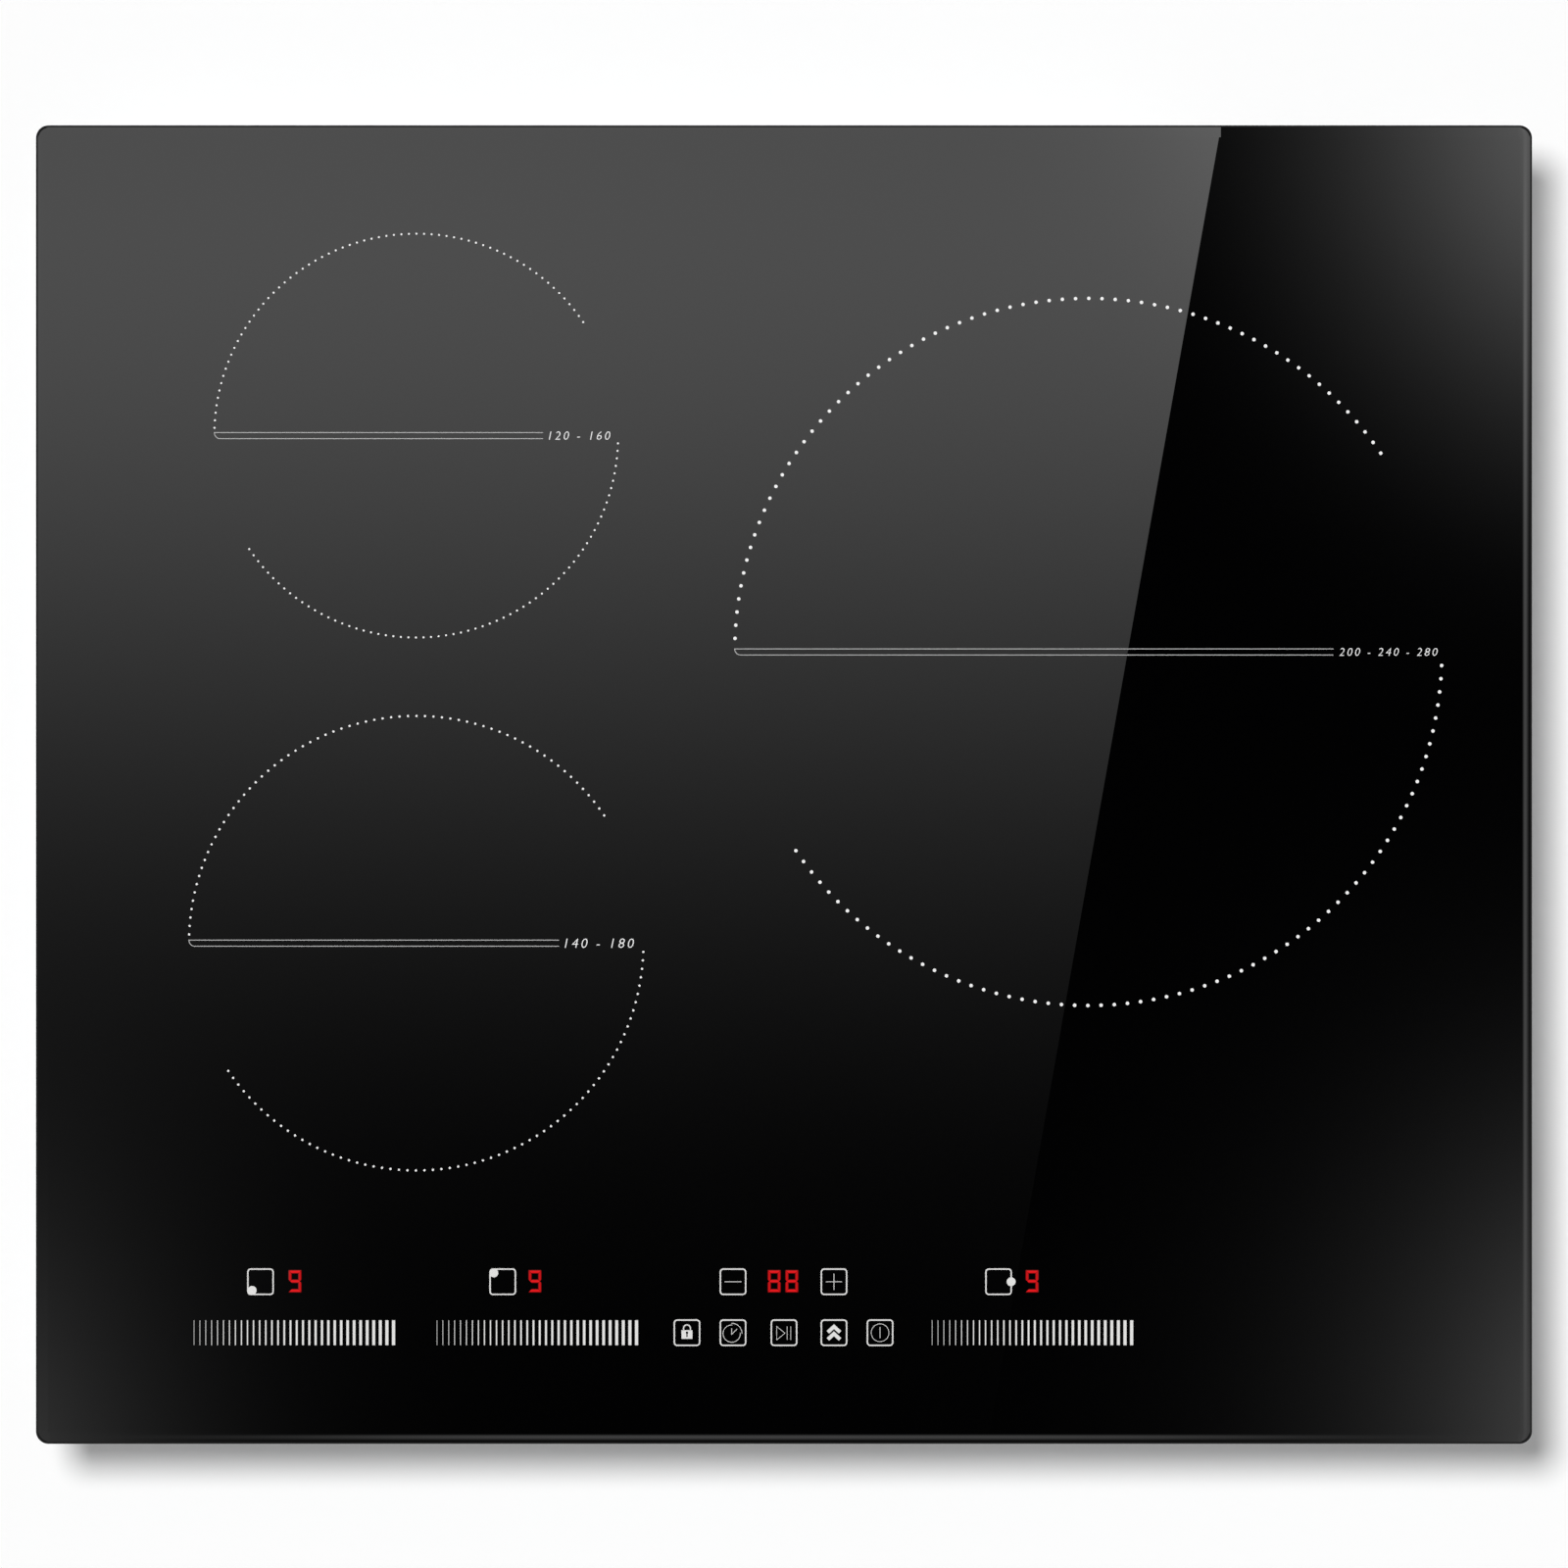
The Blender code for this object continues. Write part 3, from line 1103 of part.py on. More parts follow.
def blower_axis(side):
    """The wheel's axis: its outlet is in line with the heatsink, just behind the board."""
    scroll = WHEEL_RADIUS + WHEEL_CLEARANCE + CASE_WALL + SCROLL_GROWTH
    return (heatsink_x(side) - OUTLET_WIDTH / 2 + scroll,
            side.board_y + BOARD_LENGTH + CARRIER_MARGIN + CASE_TO_BOARD + scroll)


def scroll_outline(inset, outlet_end):
    """A spiral that widens towards its outlet, which leaves along -y on the -x side."""
    start = WHEEL_RADIUS + WHEEL_CLEARANCE + CASE_WALL
    widest = start + SCROLL_GROWTH
    outlet_x = OUTLET_WIDTH - widest
    tongue = math.pi * 1.5 + math.asin(outlet_x / start) if abs(outlet_x) < start else math.pi * 1.5
    points = []
    for step in range(SCROLL_STEPS + 1):
        angle = tongue + (3 * math.pi - tongue) * step / SCROLL_STEPS
        radius = start + SCROLL_GROWTH * (angle - tongue) / (3 * math.pi - tongue) - inset
        points.append((radius * math.cos(angle), radius * math.sin(angle)))
    end_y = -widest - outlet_end
    points += [(-widest + inset, end_y), (outlet_x - inset, end_y)]
    return points


def blower_case():
    """A scroll-shaped box with a round intake below and its outlet open at the front."""
    shape = prism(scroll_outline(0.0, 0.0), 0.0, CASE_HEIGHT)
    shape = cut(shape, prism(scroll_outline(CASE_WALL, FIT), CASE_WALL, CASE_HEIGHT - CASE_WALL))
    return cut(shape, prism(circle(INTAKE_RADIUS, WIDE_SEGMENTS), -FIT, 2 * CASE_WALL))


def wheel_top():
    return CASE_HEIGHT - CASE_WALL - 2 * WHEEL_END_GAP


def blower_impeller():
    """A disc with a cup for the motor, a crown of forward-curved blades under it and a ring round their ends."""
    top = wheel_top()
    low = CASE_WALL + WHEEL_END_GAP
    cup = top - HUB_DEPTH
    bore = SHAFT_RADIUS + FIT
    disc = turned([(bore, cup), (HUB_RADIUS, cup), (HUB_RADIUS, top - WHEEL_DISC), (WHEEL_RADIUS, top - WHEEL_DISC),
                   (WHEEL_RADIUS, top), (HUB_RADIUS - HUB_WALL, top), (HUB_RADIUS - HUB_WALL, cup + HUB_WALL),
                   (bore, cup + HUB_WALL)], BLADES)
    inner = WHEEL_RADIUS - WHEEL_RING_WIDTH
    ring = turned([(inner, low), (WHEEL_RADIUS, low), (WHEEL_RADIUS, low + WHEEL_DISC), (inner, low + WHEEL_DISC)],
                  BLADES)
    edge = WHEEL_RADIUS * math.cos(math.pi / BLADES) - SINK
    blades = []
    for index in range(BLADES):
        start = 2 * math.pi * (index + 0.5) / BLADES
        section = []
        for side in (-1, 1):
            row = []
            for share in (0.0, 0.5, 1.0):
                radius = BLADE_INNER_RADIUS + (edge - BLADE_INNER_RADIUS) * share
                angle = start + BLADE_SWEEP * share * share + side * BLADE_THICKNESS / 2 / radius
                row.append((radius * math.cos(angle), radius * math.sin(angle)))
            section += row if side < 0 else row[::-1]
        blades.append(prism(section, low + SINK, top - WHEEL_DISC + SINK))
    return fused(together(disc, ring), together(*blades))


def blower_motor():
    """A stator that hangs from the case's roof inside the wheel's cup, with its shaft through the cup's floor."""
    roof = CASE_HEIGHT - CASE_WALL - FIT
    cup = wheel_top() - HUB_DEPTH
    stator_low = cup + HUB_WALL + 2 * FIT
    stator_radius = HUB_RADIUS - HUB_WALL - 3 * FIT
    return turned([(0, cup), (SHAFT_RADIUS, cup), (SHAFT_RADIUS, stator_low), (stator_radius, stator_low),
                   (stator_radius, roof), (0, roof)], SMALL_SEGMENTS)


def blowers():
    case = mesh_of("blower_case", blower_case())
    wheel = mesh_of("blower_impeller", blower_impeller())
    motor = mesh_of("blower_motor", blower_motor())
    for side in SIDES:
        axis = anchor(f"blower_axis_{side.name}", (*blower_axis(side), SEAT_Z))
        place(f"blower_case_{side.name}", case, "black_plastic", parent=axis)
        place(f"blower_impeller_{side.name}", wheel, "grey_plastic", parent=axis)
        place(f"blower_motor_{side.name}", motor, "steel", parent=axis)


# Touch control

def touch_extent():
    """x0, x1, y0, y1 of the touch board: it covers both rows and all three sliders."""
    x0 = min(SLIDER_X) - SLIDER_LENGTH / 2 - TOUCH_EDGE
    x1 = max(SLIDER_X) + SLIDER_LENGTH / 2 + TOUCH_EDGE
    return x0, x1, FRONT_ROW_Y - SLIDER_HEIGHT / 2 - TOUCH_EDGE / 2, REAR_ROW_Y + DISPLAY_DEPTH / 2 + TOUCH_EDGE / 2


def ribbon_x():
    return LEFT_SIDE.zones[0].x


def ribbon_start_y():
    return (FRONT_ROW_Y + REAR_ROW_Y) / 2


def ribbon_end_y():
    return LEFT_SIDE.board_y + BOARD_INSET + CONNECTOR_SIZE / 2


def touch_board():
    """A board with a slider electrode under each scale and a sensor pad under each key, all close to the glass."""
    x0, x1, y0, y1 = touch_extent()
    reach = GLASS_UNDER - FIT
    raised = []
    for x in SLIDER_X:
        raised.append((rectangle(x - SLIDER_LENGTH / 2, x + SLIDER_LENGTH / 2, FRONT_ROW_Y - SLIDER_HEIGHT / 2,
                                 FRONT_ROW_Y + SLIDER_HEIGHT / 2), reach))
        raised.append((circle(KEY_RADIUS, POST_SEGMENTS, x - ZONE_KEY_OFFSET, REAR_ROW_Y), reach))
    for x in KEY_X:
        raised.append((circle(KEY_RADIUS, POST_SEGMENTS, x, FRONT_ROW_Y), reach))
    for x in (KEY_X[1], KEY_X[3]):
        raised.append((circle(KEY_RADIUS, POST_SEGMENTS, x, REAR_ROW_Y), reach))
    piece("touch_board", relief(rectangle(x0, x1, y0, y1), TOUCH_UNDER, TOUCH_TOP, raised=raised), "board")


def touch_carrier():
    """A tray round the touch board, held against the glass on three posts, with a window for the ribbon."""
    x0, x1, y0, y1 = touch_extent()
    grow = FIT + TOUCH_WALL
    floor_top = TOUCH_UNDER - FIT
    outer = rectangle(x0 - grow, x1 + grow, y0 - grow, y1 + grow)
    posts = []
    half = TOUCH_POST / 2
    y = ribbon_start_y()
    for x in (x0 + 2 * TOUCH_POST, (x0 + x1) / 2, x1 - 2 * TOUCH_POST):
        posts.append((rectangle(x - half, x + half, y - half, y + half), SEAT_Z))
    window_x, window_y = RIBBON_WIDTH / 2 + RIBBON_ROOM, RIBBON_THICKNESS / 2 + 2 * RIBBON_ROOM
    window = rectangle(ribbon_x() - window_x, ribbon_x() + window_x, y - window_y, y + window_y)
    tray = relief(outer, floor_top - TOUCH_WALL, floor_top, lowered=posts, holes=[window])
    inner = rectangle(x0 - FIT, x1 + FIT, y0 - FIT, y1 + FIT)
    low, high = floor_top - SINK, GLASS_UNDER - FIT
    walls = loft([[(px, py, z) for px, py in outline] for outline, z in
                  ((outer, low), (outer, high), (inner, high), (inner, low))], closed=True)
    piece("touch_carrier", fused(tray, walls), "black_plastic")


def display_shape(length):
    """A display block with a shallow window on top."""
    rim = DISPLAY_RIM
    outer = rectangle(-length / 2, length / 2, -DISPLAY_DEPTH / 2, DISPLAY_DEPTH / 2)
    inner = rectangle(rim - length / 2, length / 2 - rim, rim - DISPLAY_DEPTH / 2, DISPLAY_DEPTH / 2 - rim)
    low, high = 0.0, DISPLAY_HEIGHT
    return loft([[(x, y, z) for x, y in outline] for outline, z in
                 ((outer, low), (outer, high), (inner, high), (inner, high - DISPLAY_RECESS))])


def displays():
    z = TOUCH_TOP + FIT
    single = mesh_of("zone_display", display_shape(DISPLAY_LENGTH))
    for zone, x in zip(("front_left", "rear_left", "right"), SLIDER_X):
        place(f"zone_display_{zone}", single, "display", location=(x, REAR_ROW_Y, z))
    piece("timer_display", display_shape(TIMER_DISPLAY_LENGTH), "display", location=(KEY_X[2], REAR_ROW_Y, z))


def ribbon_cable():
    """A flat cable that drops from the touch board through its carrier and curves over to the left board."""
    start = (0.0, ribbon_start_y(), TOUCH_UNDER - FIT)
    end = (0.0, ribbon_end_y(), BOARD_TOP + CONNECTOR_HEIGHT + FIT)
    drop = start[2] - end[2]
    path = bezier(start, (0.0, start[1], start[2] - drop), (0.0, end[1], end[2] + drop), end, ARCH_STEPS)
    half = RIBBON_THICKNESS / 2
    rings = []
    for index, point in enumerate(path):
        before, after = path[max(index - 1, 0)], path[min(index + 1, len(path) - 1)]
        along = (after - before).normalized()
        side = Vector((0.0, -along.z, along.y)) * half
        near, far = point + side, point - side
        x0, x1 = ribbon_x() - RIBBON_WIDTH / 2, ribbon_x() + RIBBON_WIDTH / 2
        rings.append([(x0, near.y, near.z), (x1, near.y, near.z), (x1, far.y, far.z), (x0, far.y, far.z)])
    piece("ribbon_cable", loft(rings), "grey_plastic")


def main():
    for obj in list(bpy.data.objects):
        bpy.data.objects.remove(obj)
    glass_panel()
    rim_seal()
    glass_adhesive()
    glass_frame()
    base_tray()
    terminal_housing()
    terminal_cover()
    terminal_block()
    cable_grommet()
    mains_harness()
    fixing_brackets()
    for side in SIDES:
        coils(side)
        coil_deck(side)
        board_carrier(side)
        power_board(side)
        heatsink(side)
    filter_board()
    supply_leads()
    blowers()
    touch_carrier()
    touch_board()
    displays()
    ribbon_cable()


main()
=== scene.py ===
"""Looks of a built-in induction cooktop, laid out as a Blender add-on and run as a script.

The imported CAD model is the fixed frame. This file adds what the frame leaves out: the finely ground
glass plate, the marks printed on it, the lit digits, the small screws and weld marks, the finish of
every node, and the studio. Lengths are in metres, and MM turns millimetres into them.
"""

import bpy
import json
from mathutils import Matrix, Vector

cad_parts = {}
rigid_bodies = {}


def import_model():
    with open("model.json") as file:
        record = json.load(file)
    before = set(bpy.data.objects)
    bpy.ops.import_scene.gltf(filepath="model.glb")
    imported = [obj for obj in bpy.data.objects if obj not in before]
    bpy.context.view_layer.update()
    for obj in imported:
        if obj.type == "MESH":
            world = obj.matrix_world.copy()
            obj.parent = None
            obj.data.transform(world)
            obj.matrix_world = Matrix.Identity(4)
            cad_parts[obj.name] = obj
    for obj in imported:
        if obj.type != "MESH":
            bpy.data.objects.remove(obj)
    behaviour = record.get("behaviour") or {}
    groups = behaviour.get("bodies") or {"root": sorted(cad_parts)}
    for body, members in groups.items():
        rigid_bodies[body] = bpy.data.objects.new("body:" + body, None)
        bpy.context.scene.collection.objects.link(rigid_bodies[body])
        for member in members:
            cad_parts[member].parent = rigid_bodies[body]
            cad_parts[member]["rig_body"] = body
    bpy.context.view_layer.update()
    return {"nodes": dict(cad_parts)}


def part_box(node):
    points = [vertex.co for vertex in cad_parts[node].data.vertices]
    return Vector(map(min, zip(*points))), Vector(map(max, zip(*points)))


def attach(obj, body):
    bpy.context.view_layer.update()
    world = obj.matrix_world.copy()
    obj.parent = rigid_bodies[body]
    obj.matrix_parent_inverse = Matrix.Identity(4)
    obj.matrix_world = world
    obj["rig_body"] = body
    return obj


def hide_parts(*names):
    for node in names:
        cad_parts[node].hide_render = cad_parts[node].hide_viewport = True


bl_info = {
    "name": "Induction Cooktop Looks",
    "version": (1, 0, 0),
    "blender": (4, 5, 0),
    "location": "View3D > Sidebar > Cooktop",
    "description": "Glass, printed marks, lit digits, screws, finishes and studio of an induction cooktop",
    "category": "Object",
}

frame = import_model()

import json
import math

import bpy
import numpy as np
from bpy.props import FloatProperty, FloatVectorProperty, IntProperty, PointerProperty
from mathutils import Vector

MM = 0.001

PLATE_LOW, PLATE_HIGH = (np.array(corner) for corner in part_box("glass_panel"))
PLATE_LENGTH, PLATE_WIDTH = (PLATE_HIGH - PLATE_LOW)[:2]
INK_TOP = PLATE_HIGH[2]
INK_BITE = 0.02 * MM
SHARP_ANGLE = math.radians(30)
LIT = "lit"

# steps along a curve, and sides of a round
ARRIS_STEPS = 7
EDGE_STEPS = 25
PLATE_CORNER_STEPS = 20
KEY_CORNER_STEPS = 6
HOOK_STEPS = 12
DOT_SIDES = 14
KEY_DOT_SIDES = 24
RING_SIDES = 40
SHANK_SIDES = 32
HEAD_SIDES = 48
WELD_SIDES = 24
DISC_RINGS = 18


# ---------------- Sizes and colours that a user may change ----------------


def length(name, description, millimetres):
    """A size property, whose default is given in millimetres."""
    return FloatProperty(name=name, description=description, default=millimetres * MM, unit="LENGTH")


def angle(name, description, degrees):
    """An angle property, whose default is given in degrees."""
    return FloatProperty(name=name, description=description, default=math.radians(degrees), subtype="ANGLE")


def share(name, description, default):
    """A property that is a share of another size."""
    return FloatProperty(name=name, description=description, default=default, subtype="FACTOR")


def colour(name, description, default):
    """A colour property, in linear red, green and blue."""
    return FloatVectorProperty(
        name=name, description=description, default=default, size=3, min=0, max=1, subtype="COLOR"
    )


class CooktopGlassSettings(bpy.types.PropertyGroup):
    """The ceramic glass plate and its ground edge."""

    corner: length("Corner radius", "Radius of the plate's corners seen from above", 5)
    edge_run: length("Edge run", "Width of the rounded edge seen from above", 4.5)
    edge_tilt: angle("Edge tilt", "Slope at which the rounded edge meets the upright side", 40)
    arris: length("Arris", "Radius over the upright side, and chamfer under it", 0.2)
    ink: length("Ink thickness", "How far the printed marks stand over the glass", 0.06)
    tint: colour("Glass tint", "Colour of the glass body", (0.0006, 0.0006, 0.0007))


class CooktopZoneSettings(bpy.types.PropertyGroup):
    """The dotted rings, double lines and numbers that mark the cooking zones."""

    dots: IntProperty(name="Dots", description="Dots on each of a ring's two arcs", default=68, min=3)
    arc_start: angle("Arc start", "Angle of the first dot of the rear arc, from the right", 34.2)
    arc_span: angle("Arc span", "Angle from the first to the last dot of an arc", 143.6)
    dot_share: share("Dot size", "Dot diameter as a share of the ring's radius", 0.01)
    line_gap: length("Line gap", "Distance between the two lines of a pair", 2.4)
    line_width: length("Line width", "Width of a printed line", 0.28)
    hook: length("Hook radius", "Radius of the bend that closes a pair of lines", 2.3)
    number_gap: length("Number gap", "Distance from the end of a pair of lines to the numbers", 2.3)
    ink: colour("Zone ink", "Colour of the rings and numbers", (0.90, 0.90, 0.90))
    line_ink: colour("Line ink", "Colour of the double lines", (0.50, 0.50, 0.50))


class CooktopControlSettings(bpy.types.PropertyGroup):
    """The printed touch controls along the front."""

    bars: IntProperty(name="Bars", description="Bars in a slider", default=33, min=2)
    bar_height: length("Bar height", "Height of a slider's bars", 9.8)
    first_bar: length("First bar", "Width of a slider's thinnest bar", 0.155)
    last_bar: length("Last bar", "Width of a slider's widest bar", 1.24)
    first_pitch: length("First pitch", "Distance between a slider's first two bars", 2.3)
    last_pitch: length("Last pitch", "Distance between a slider's last two bars", 2.616)
    key: length("Key size", "Outside size of a key's square", 10.5)
    key_corner: length("Key corner", "Outside corner radius of a key's square", 1.4)
    key_stroke: length("Key stroke", "Line width of a key's square", 0.53)
    zone_dot: length("Zone dot", "Radius of the dot that says which zone a key is for", 1.75)
    ink: colour("Control ink", "Colour of the bars, keys and symbols", (0.75, 0.745, 0.735))


class CooktopDigitSettings(bpy.types.PropertyGroup):
    """The lit seven-segment digits."""

    width: length("Digit width", "Distance between a digit's upright segments", 3.85)
    height: length("Digit height", "Distance between a digit's top and bottom segments", 7.45)
    stroke: length("Segment width", "Width of a segment", 1.45)
    core: length("Segment core", "Width of a segment's bright middle", 0.5)
    gap: length("Segment gap", "Gap between neighbouring segments", 0.12)
    upright: share("Upright share", "Brightness of the upright segments beside the level ones", 0.72)
    glow: colour("Glow", "Colour of the lit segments", (0.80, 0.010, 0.013))


class CooktopFixingSettings(bpy.types.PropertyGroup):
    """The small screws and the spot welds."""

    head_radius: length("Screw head radius", "Radius of a frame screw's head", 2.3)
    head_height: length("Screw head height", "Height of a frame screw's head", 1.5)
    housing_radius: length("Housing screw radius", "Radius of the heads on the terminal housing", 3)
    earth_radius: length("Earth screw radius", "Radius of the earth screw's head", 3.6)
    weld_radius: length("Spot weld radius", "Radius of a spot weld's ring", 2.6)


class CooktopFinishSettings(bpy.types.PropertyGroup):
    """The lighter colour of each finish, named for the material slot that it goes on."""

    foam: colour("Foam", "Closed-cell sealing foam", (0.045, 0.045, 0.047))
    silicone: colour("Silicone", "Black silicone adhesive", (0.03, 0.03, 0.03))
    frame_steel: colour("Frame steel", "Plain sheet steel", (0.56, 0.56, 0.57))
    galvanised_sheet: colour("Galvanised sheet", "Hot-dip zinc on sheet steel", (0.54, 0.55, 0.57))
    motor_steel: colour("Motor steel", "Bright steel", (0.60, 0.60, 0.60))
    screw: colour("Screws", "Zinc plating with a faint yellow cast", (0.66, 0.63, 0.54))
    aluminium: colour("Aluminium", "Rolled sheet and extrusions", (0.72, 0.72, 0.73))
    copper: colour("Copper", "Enamelled litz", (0.66, 0.27, 0.12))
    mica: colour("Mica", "Pressed mica sheet", (0.66, 0.57, 0.40))
    black_plastic: colour("Black plastic", "Moulded, with a fine texture", (0.028, 0.028, 0.030))
    grey_plastic: colour("Grey plastic", "Moulded, with a fine texture", (0.16, 0.16, 0.17))
    white_plastic: colour("White plastic", "Moulded and smooth", (0.70, 0.70, 0.67))
    circuit_board: colour("Circuit board", "Solder resist over copper", (0.03, 0.20, 0.07))
    board_parts: colour("Board parts", "Parts that stand on the boards", (0.028, 0.028, 0.030))
    ribbon: colour("Ribbon", "Flat cable", (0.24, 0.24, 0.25))
    rubber: colour("Rubber", "Moulded rubber", (0.022, 0.022, 0.022))
    black_lead: colour("Black lead", "Sleeved wires", (0.020, 0.020, 0.020))
    red_lead: colour("Red lead", "Silicone-sleeved wires", (0.42, 0.035, 0.022))
    display: colour("Display", "Dark red lens", (0.20, 0.010, 0.010))


class CooktopStudioSettings(bpy.types.PropertyGroup):
    """The floor, the lights and the camera."""

    view_width: length("View width", "Width of the picture at the glass", 618.2)
    lens: length("Lens", "Focal length of the camera", 400)
    shadow_right: length("Shadow right", "How far the plate's shadow falls to the right", 11.5)
    shadow_front: length("Shadow front", "How far the plate's shadow falls to the front", 12.1)
    lamp_size: angle("Lamp size", "Angle that the soft lamp fills, seen from the plate", 15.7)
    sun: FloatProperty(name="Lamp", description="Light that the soft lamp adds", default=0.95)
    sky: FloatProperty(name="Fill", description="Light that comes from all round", default=0.1)
    floor: colour("Floor", "Colour of the floor", (0.96, 0.96, 0.96))
    floor_glow: share("Floor glow", "Share of the floor's brightness that shadows leave", 0.23)


# ---------------- Surfaces as arrays ----------------


def unit(vectors):
    """Each vector over its own length."""
    return vectors / np.linalg.norm(vectors, axis=-1, keepdims=True)


def left_of(vectors):
    """Each direction (x, y) turned a quarter to the left: (-y, x)."""
    return np.stack((-vectors[..., 1], vectors[..., 0]), axis=-1)


def polar(radius, angles):
    """Points at a radius and angles: radius times (cos a, sin a)."""
    return radius * np.column_stack((np.cos(angles), np.sin(angles)))


def circle(radius, sides):
    """Points round a circle in equal steps of the angle."""
    return polar(radius, np.linspace(0, 2 * math.pi, sides, endpoint=False))


def arc(centre, radius, start, end, steps):
    """Points along an arc round a centre, from the start angle to the end angle in degrees."""
    return np.array(centre) + polar(radius, np.radians(np.linspace(start, end, steps + 1)))


def rounded_outline(length_x, length_y, radius, steps, lead):
    """Points and outward normals round a rectangle with round corners, anticlockwise.

    Each point is its corner's centre plus the radius times (cos a, sin a), with a running through one
    quarter turn per corner. One more point stands on the straight at each end of a corner, a lead away
    along the tangent, so that the straights keep their own normals.
    """
    quarter = np.linspace(0, math.pi / 2, steps + 1)
    normals = polar(1.0, (np.arange(4)[:, None] * math.pi / 2 + quarter).ravel()).reshape(4, -1, 2)
    signs = np.array(((1, 1), (-1, 1), (-1, -1), (1, -1)))[:, None]
    points = signs * (length_x / 2 - radius, length_y / 2 - radius) + radius * normals
    tangents = left_of(normals)
    first = points[:, :1] - lead * tangents[:, :1]
    last = points[:, -1:] + lead * tangents[:, -1:]
    points = np.concatenate((first, points, last), axis=1)
    normals = np.concatenate((normals[:, :1], normals, normals[:, -1:]), axis=1)
    return points.reshape(-1, 2), normals.reshape(-1, 2)


def lifted(outlines, heights):
    """Flat outlines of as many points each, put at one height each."""
    outlines = np.asarray(outlines, float)
    heights = np.broadcast_to(np.reshape(heights, (-1, 1, 1)), (*outlines.shape[:2], 1))
    return np.concatenate((outlines, heights), axis=2)


def skin(rings, closed=False):
    """The points and faces of a closed surface over a row of rings, which run anticlockwise.

    Quads join each ring to the next. The last ring joins the first, or a flat face closes each end.
    """
    count, sides, _ = rings.shape
    here = np.arange(count * sides).reshape(count, sides)
    after = np.roll(here, -1, axis=1)
    quads = np.stack((here, after, np.roll(after, -1, axis=0), np.roll(here, -1, axis=0)), axis=-1)
    points = rings.reshape(-1, 3)
    if closed:
        return points, quads.reshape(-1, 4).tolist()
    return points, [*quads[:-1].reshape(-1, 4).tolist(), here[0, ::-1].tolist(), here[-1].tolist()]


def prism(outline, low, high):
    """A flat outline drawn out between two heights."""
    return skin(lifted((outline, outline), (low, high)))


def stroke(path, width, low, high, closed=False):
    """A printed line of constant width, of rectangular section, along a path or round a closed one.

    The two sides lie half the width from the path, along the mean of the neighbouring legs' normals,
    made longer by one over the cosine of half the turn, so that corners are mitred.
    """
    path = np.asarray(path, float)
    legs = unit(np.diff(np.vstack((path, path[:1])) if closed else path, axis=0))
    legs = np.vstack((legs[-1:], legs)) if closed else np.vstack((legs[:1], legs, legs[-1:]))
    across = left_of(unit(legs[:-1] + legs[1:]))
    reach = width / 2 / (across * left_of(legs[1:])).sum(axis=1)
    side = across * reach[:, None]
    left, right = path - side, path + side
    section = lifted((left, right, right, left), (low, low, high, high))
    return skin(section.transpose(1, 0, 2), closed)


def moved(shape, x, y, z=0):
    """A shape put at a place."""
    points, faces = shape
    return points + (x, y, z), faces


def joined(shapes):
    """Several shapes as one list of points and faces."""
    starts = np.cumsum([0] + [len(points) for points, _ in shapes]).tolist()
    parts = [faces for _, faces in shapes]
    faces = [[corner + start for corner in face] for start, part in zip(starts, parts) for face in part]
    return np.concatenate([points for points, _ in shapes]), faces


def new_object(name, data):
    """A new object in the scene."""
    thing = bpy.data.objects.new(name, data)
    bpy.context.scene.collection.objects.link(thing)
    return thing


def new_mesh(name, shape, material):
    """Points and faces as a mesh of one material."""
    points, faces = shape
    mesh = bpy.data.meshes.new(name)
    mesh.from_pydata(points.tolist(), [], faces)
    mesh.materials.append(material)
    return mesh


def build_piece(name, shape, material, body="root"):
    """Makes a shape an object, smooth up to the sharp angle, and rides it on a body."""
    mesh = new_mesh(name, shape, material)
    mesh.validate()
    mesh.polygons.foreach_set("use_smooth", [True] * len(mesh.polygons))
    mesh.set_sharp_from_angle(angle=SHARP_ANGLE)
    mesh.update()
    piece = new_object(name, mesh)
    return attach(piece, body)


# ---------------- Formulas and patterns as nodes ----------------


def fill(tree, socket, value):
    """Gives an input socket its value, or its link where the value is a Formula."""
    if isinstance(value, Formula):
        tree.links.new(value.socket, socket)
    else:
        socket.default_value = value


def wire(tree, node, *ordered, **named):
    """Fills a node's inputs, in order or by name, with _ for a space."""
    for socket, value in zip(node.inputs, ordered):
        fill(tree, socket, value)
    for key, value in named.items():
        fill(tree, node.inputs[key.replace("_", " ")], value)


def add_node(tree, kind, settings=None, *ordered, output=None, **named):
    """A shader node with its settings and inputs, or one of its outputs as a Formula."""
    node = tree.nodes.new(f"ShaderNode{kind}")
    for key, value in (settings or {}).items():
        setattr(node, key, value)
    wire(tree, node, *ordered, **named)
    return node if output is None else Formula(tree, node.outputs[output])


def operation(kind):
    """A Formula's method that adds one Math node of a kind."""
    return lambda self, *others: add_node(self.tree, "Math", {"operation": kind}, self, *others, output=0)


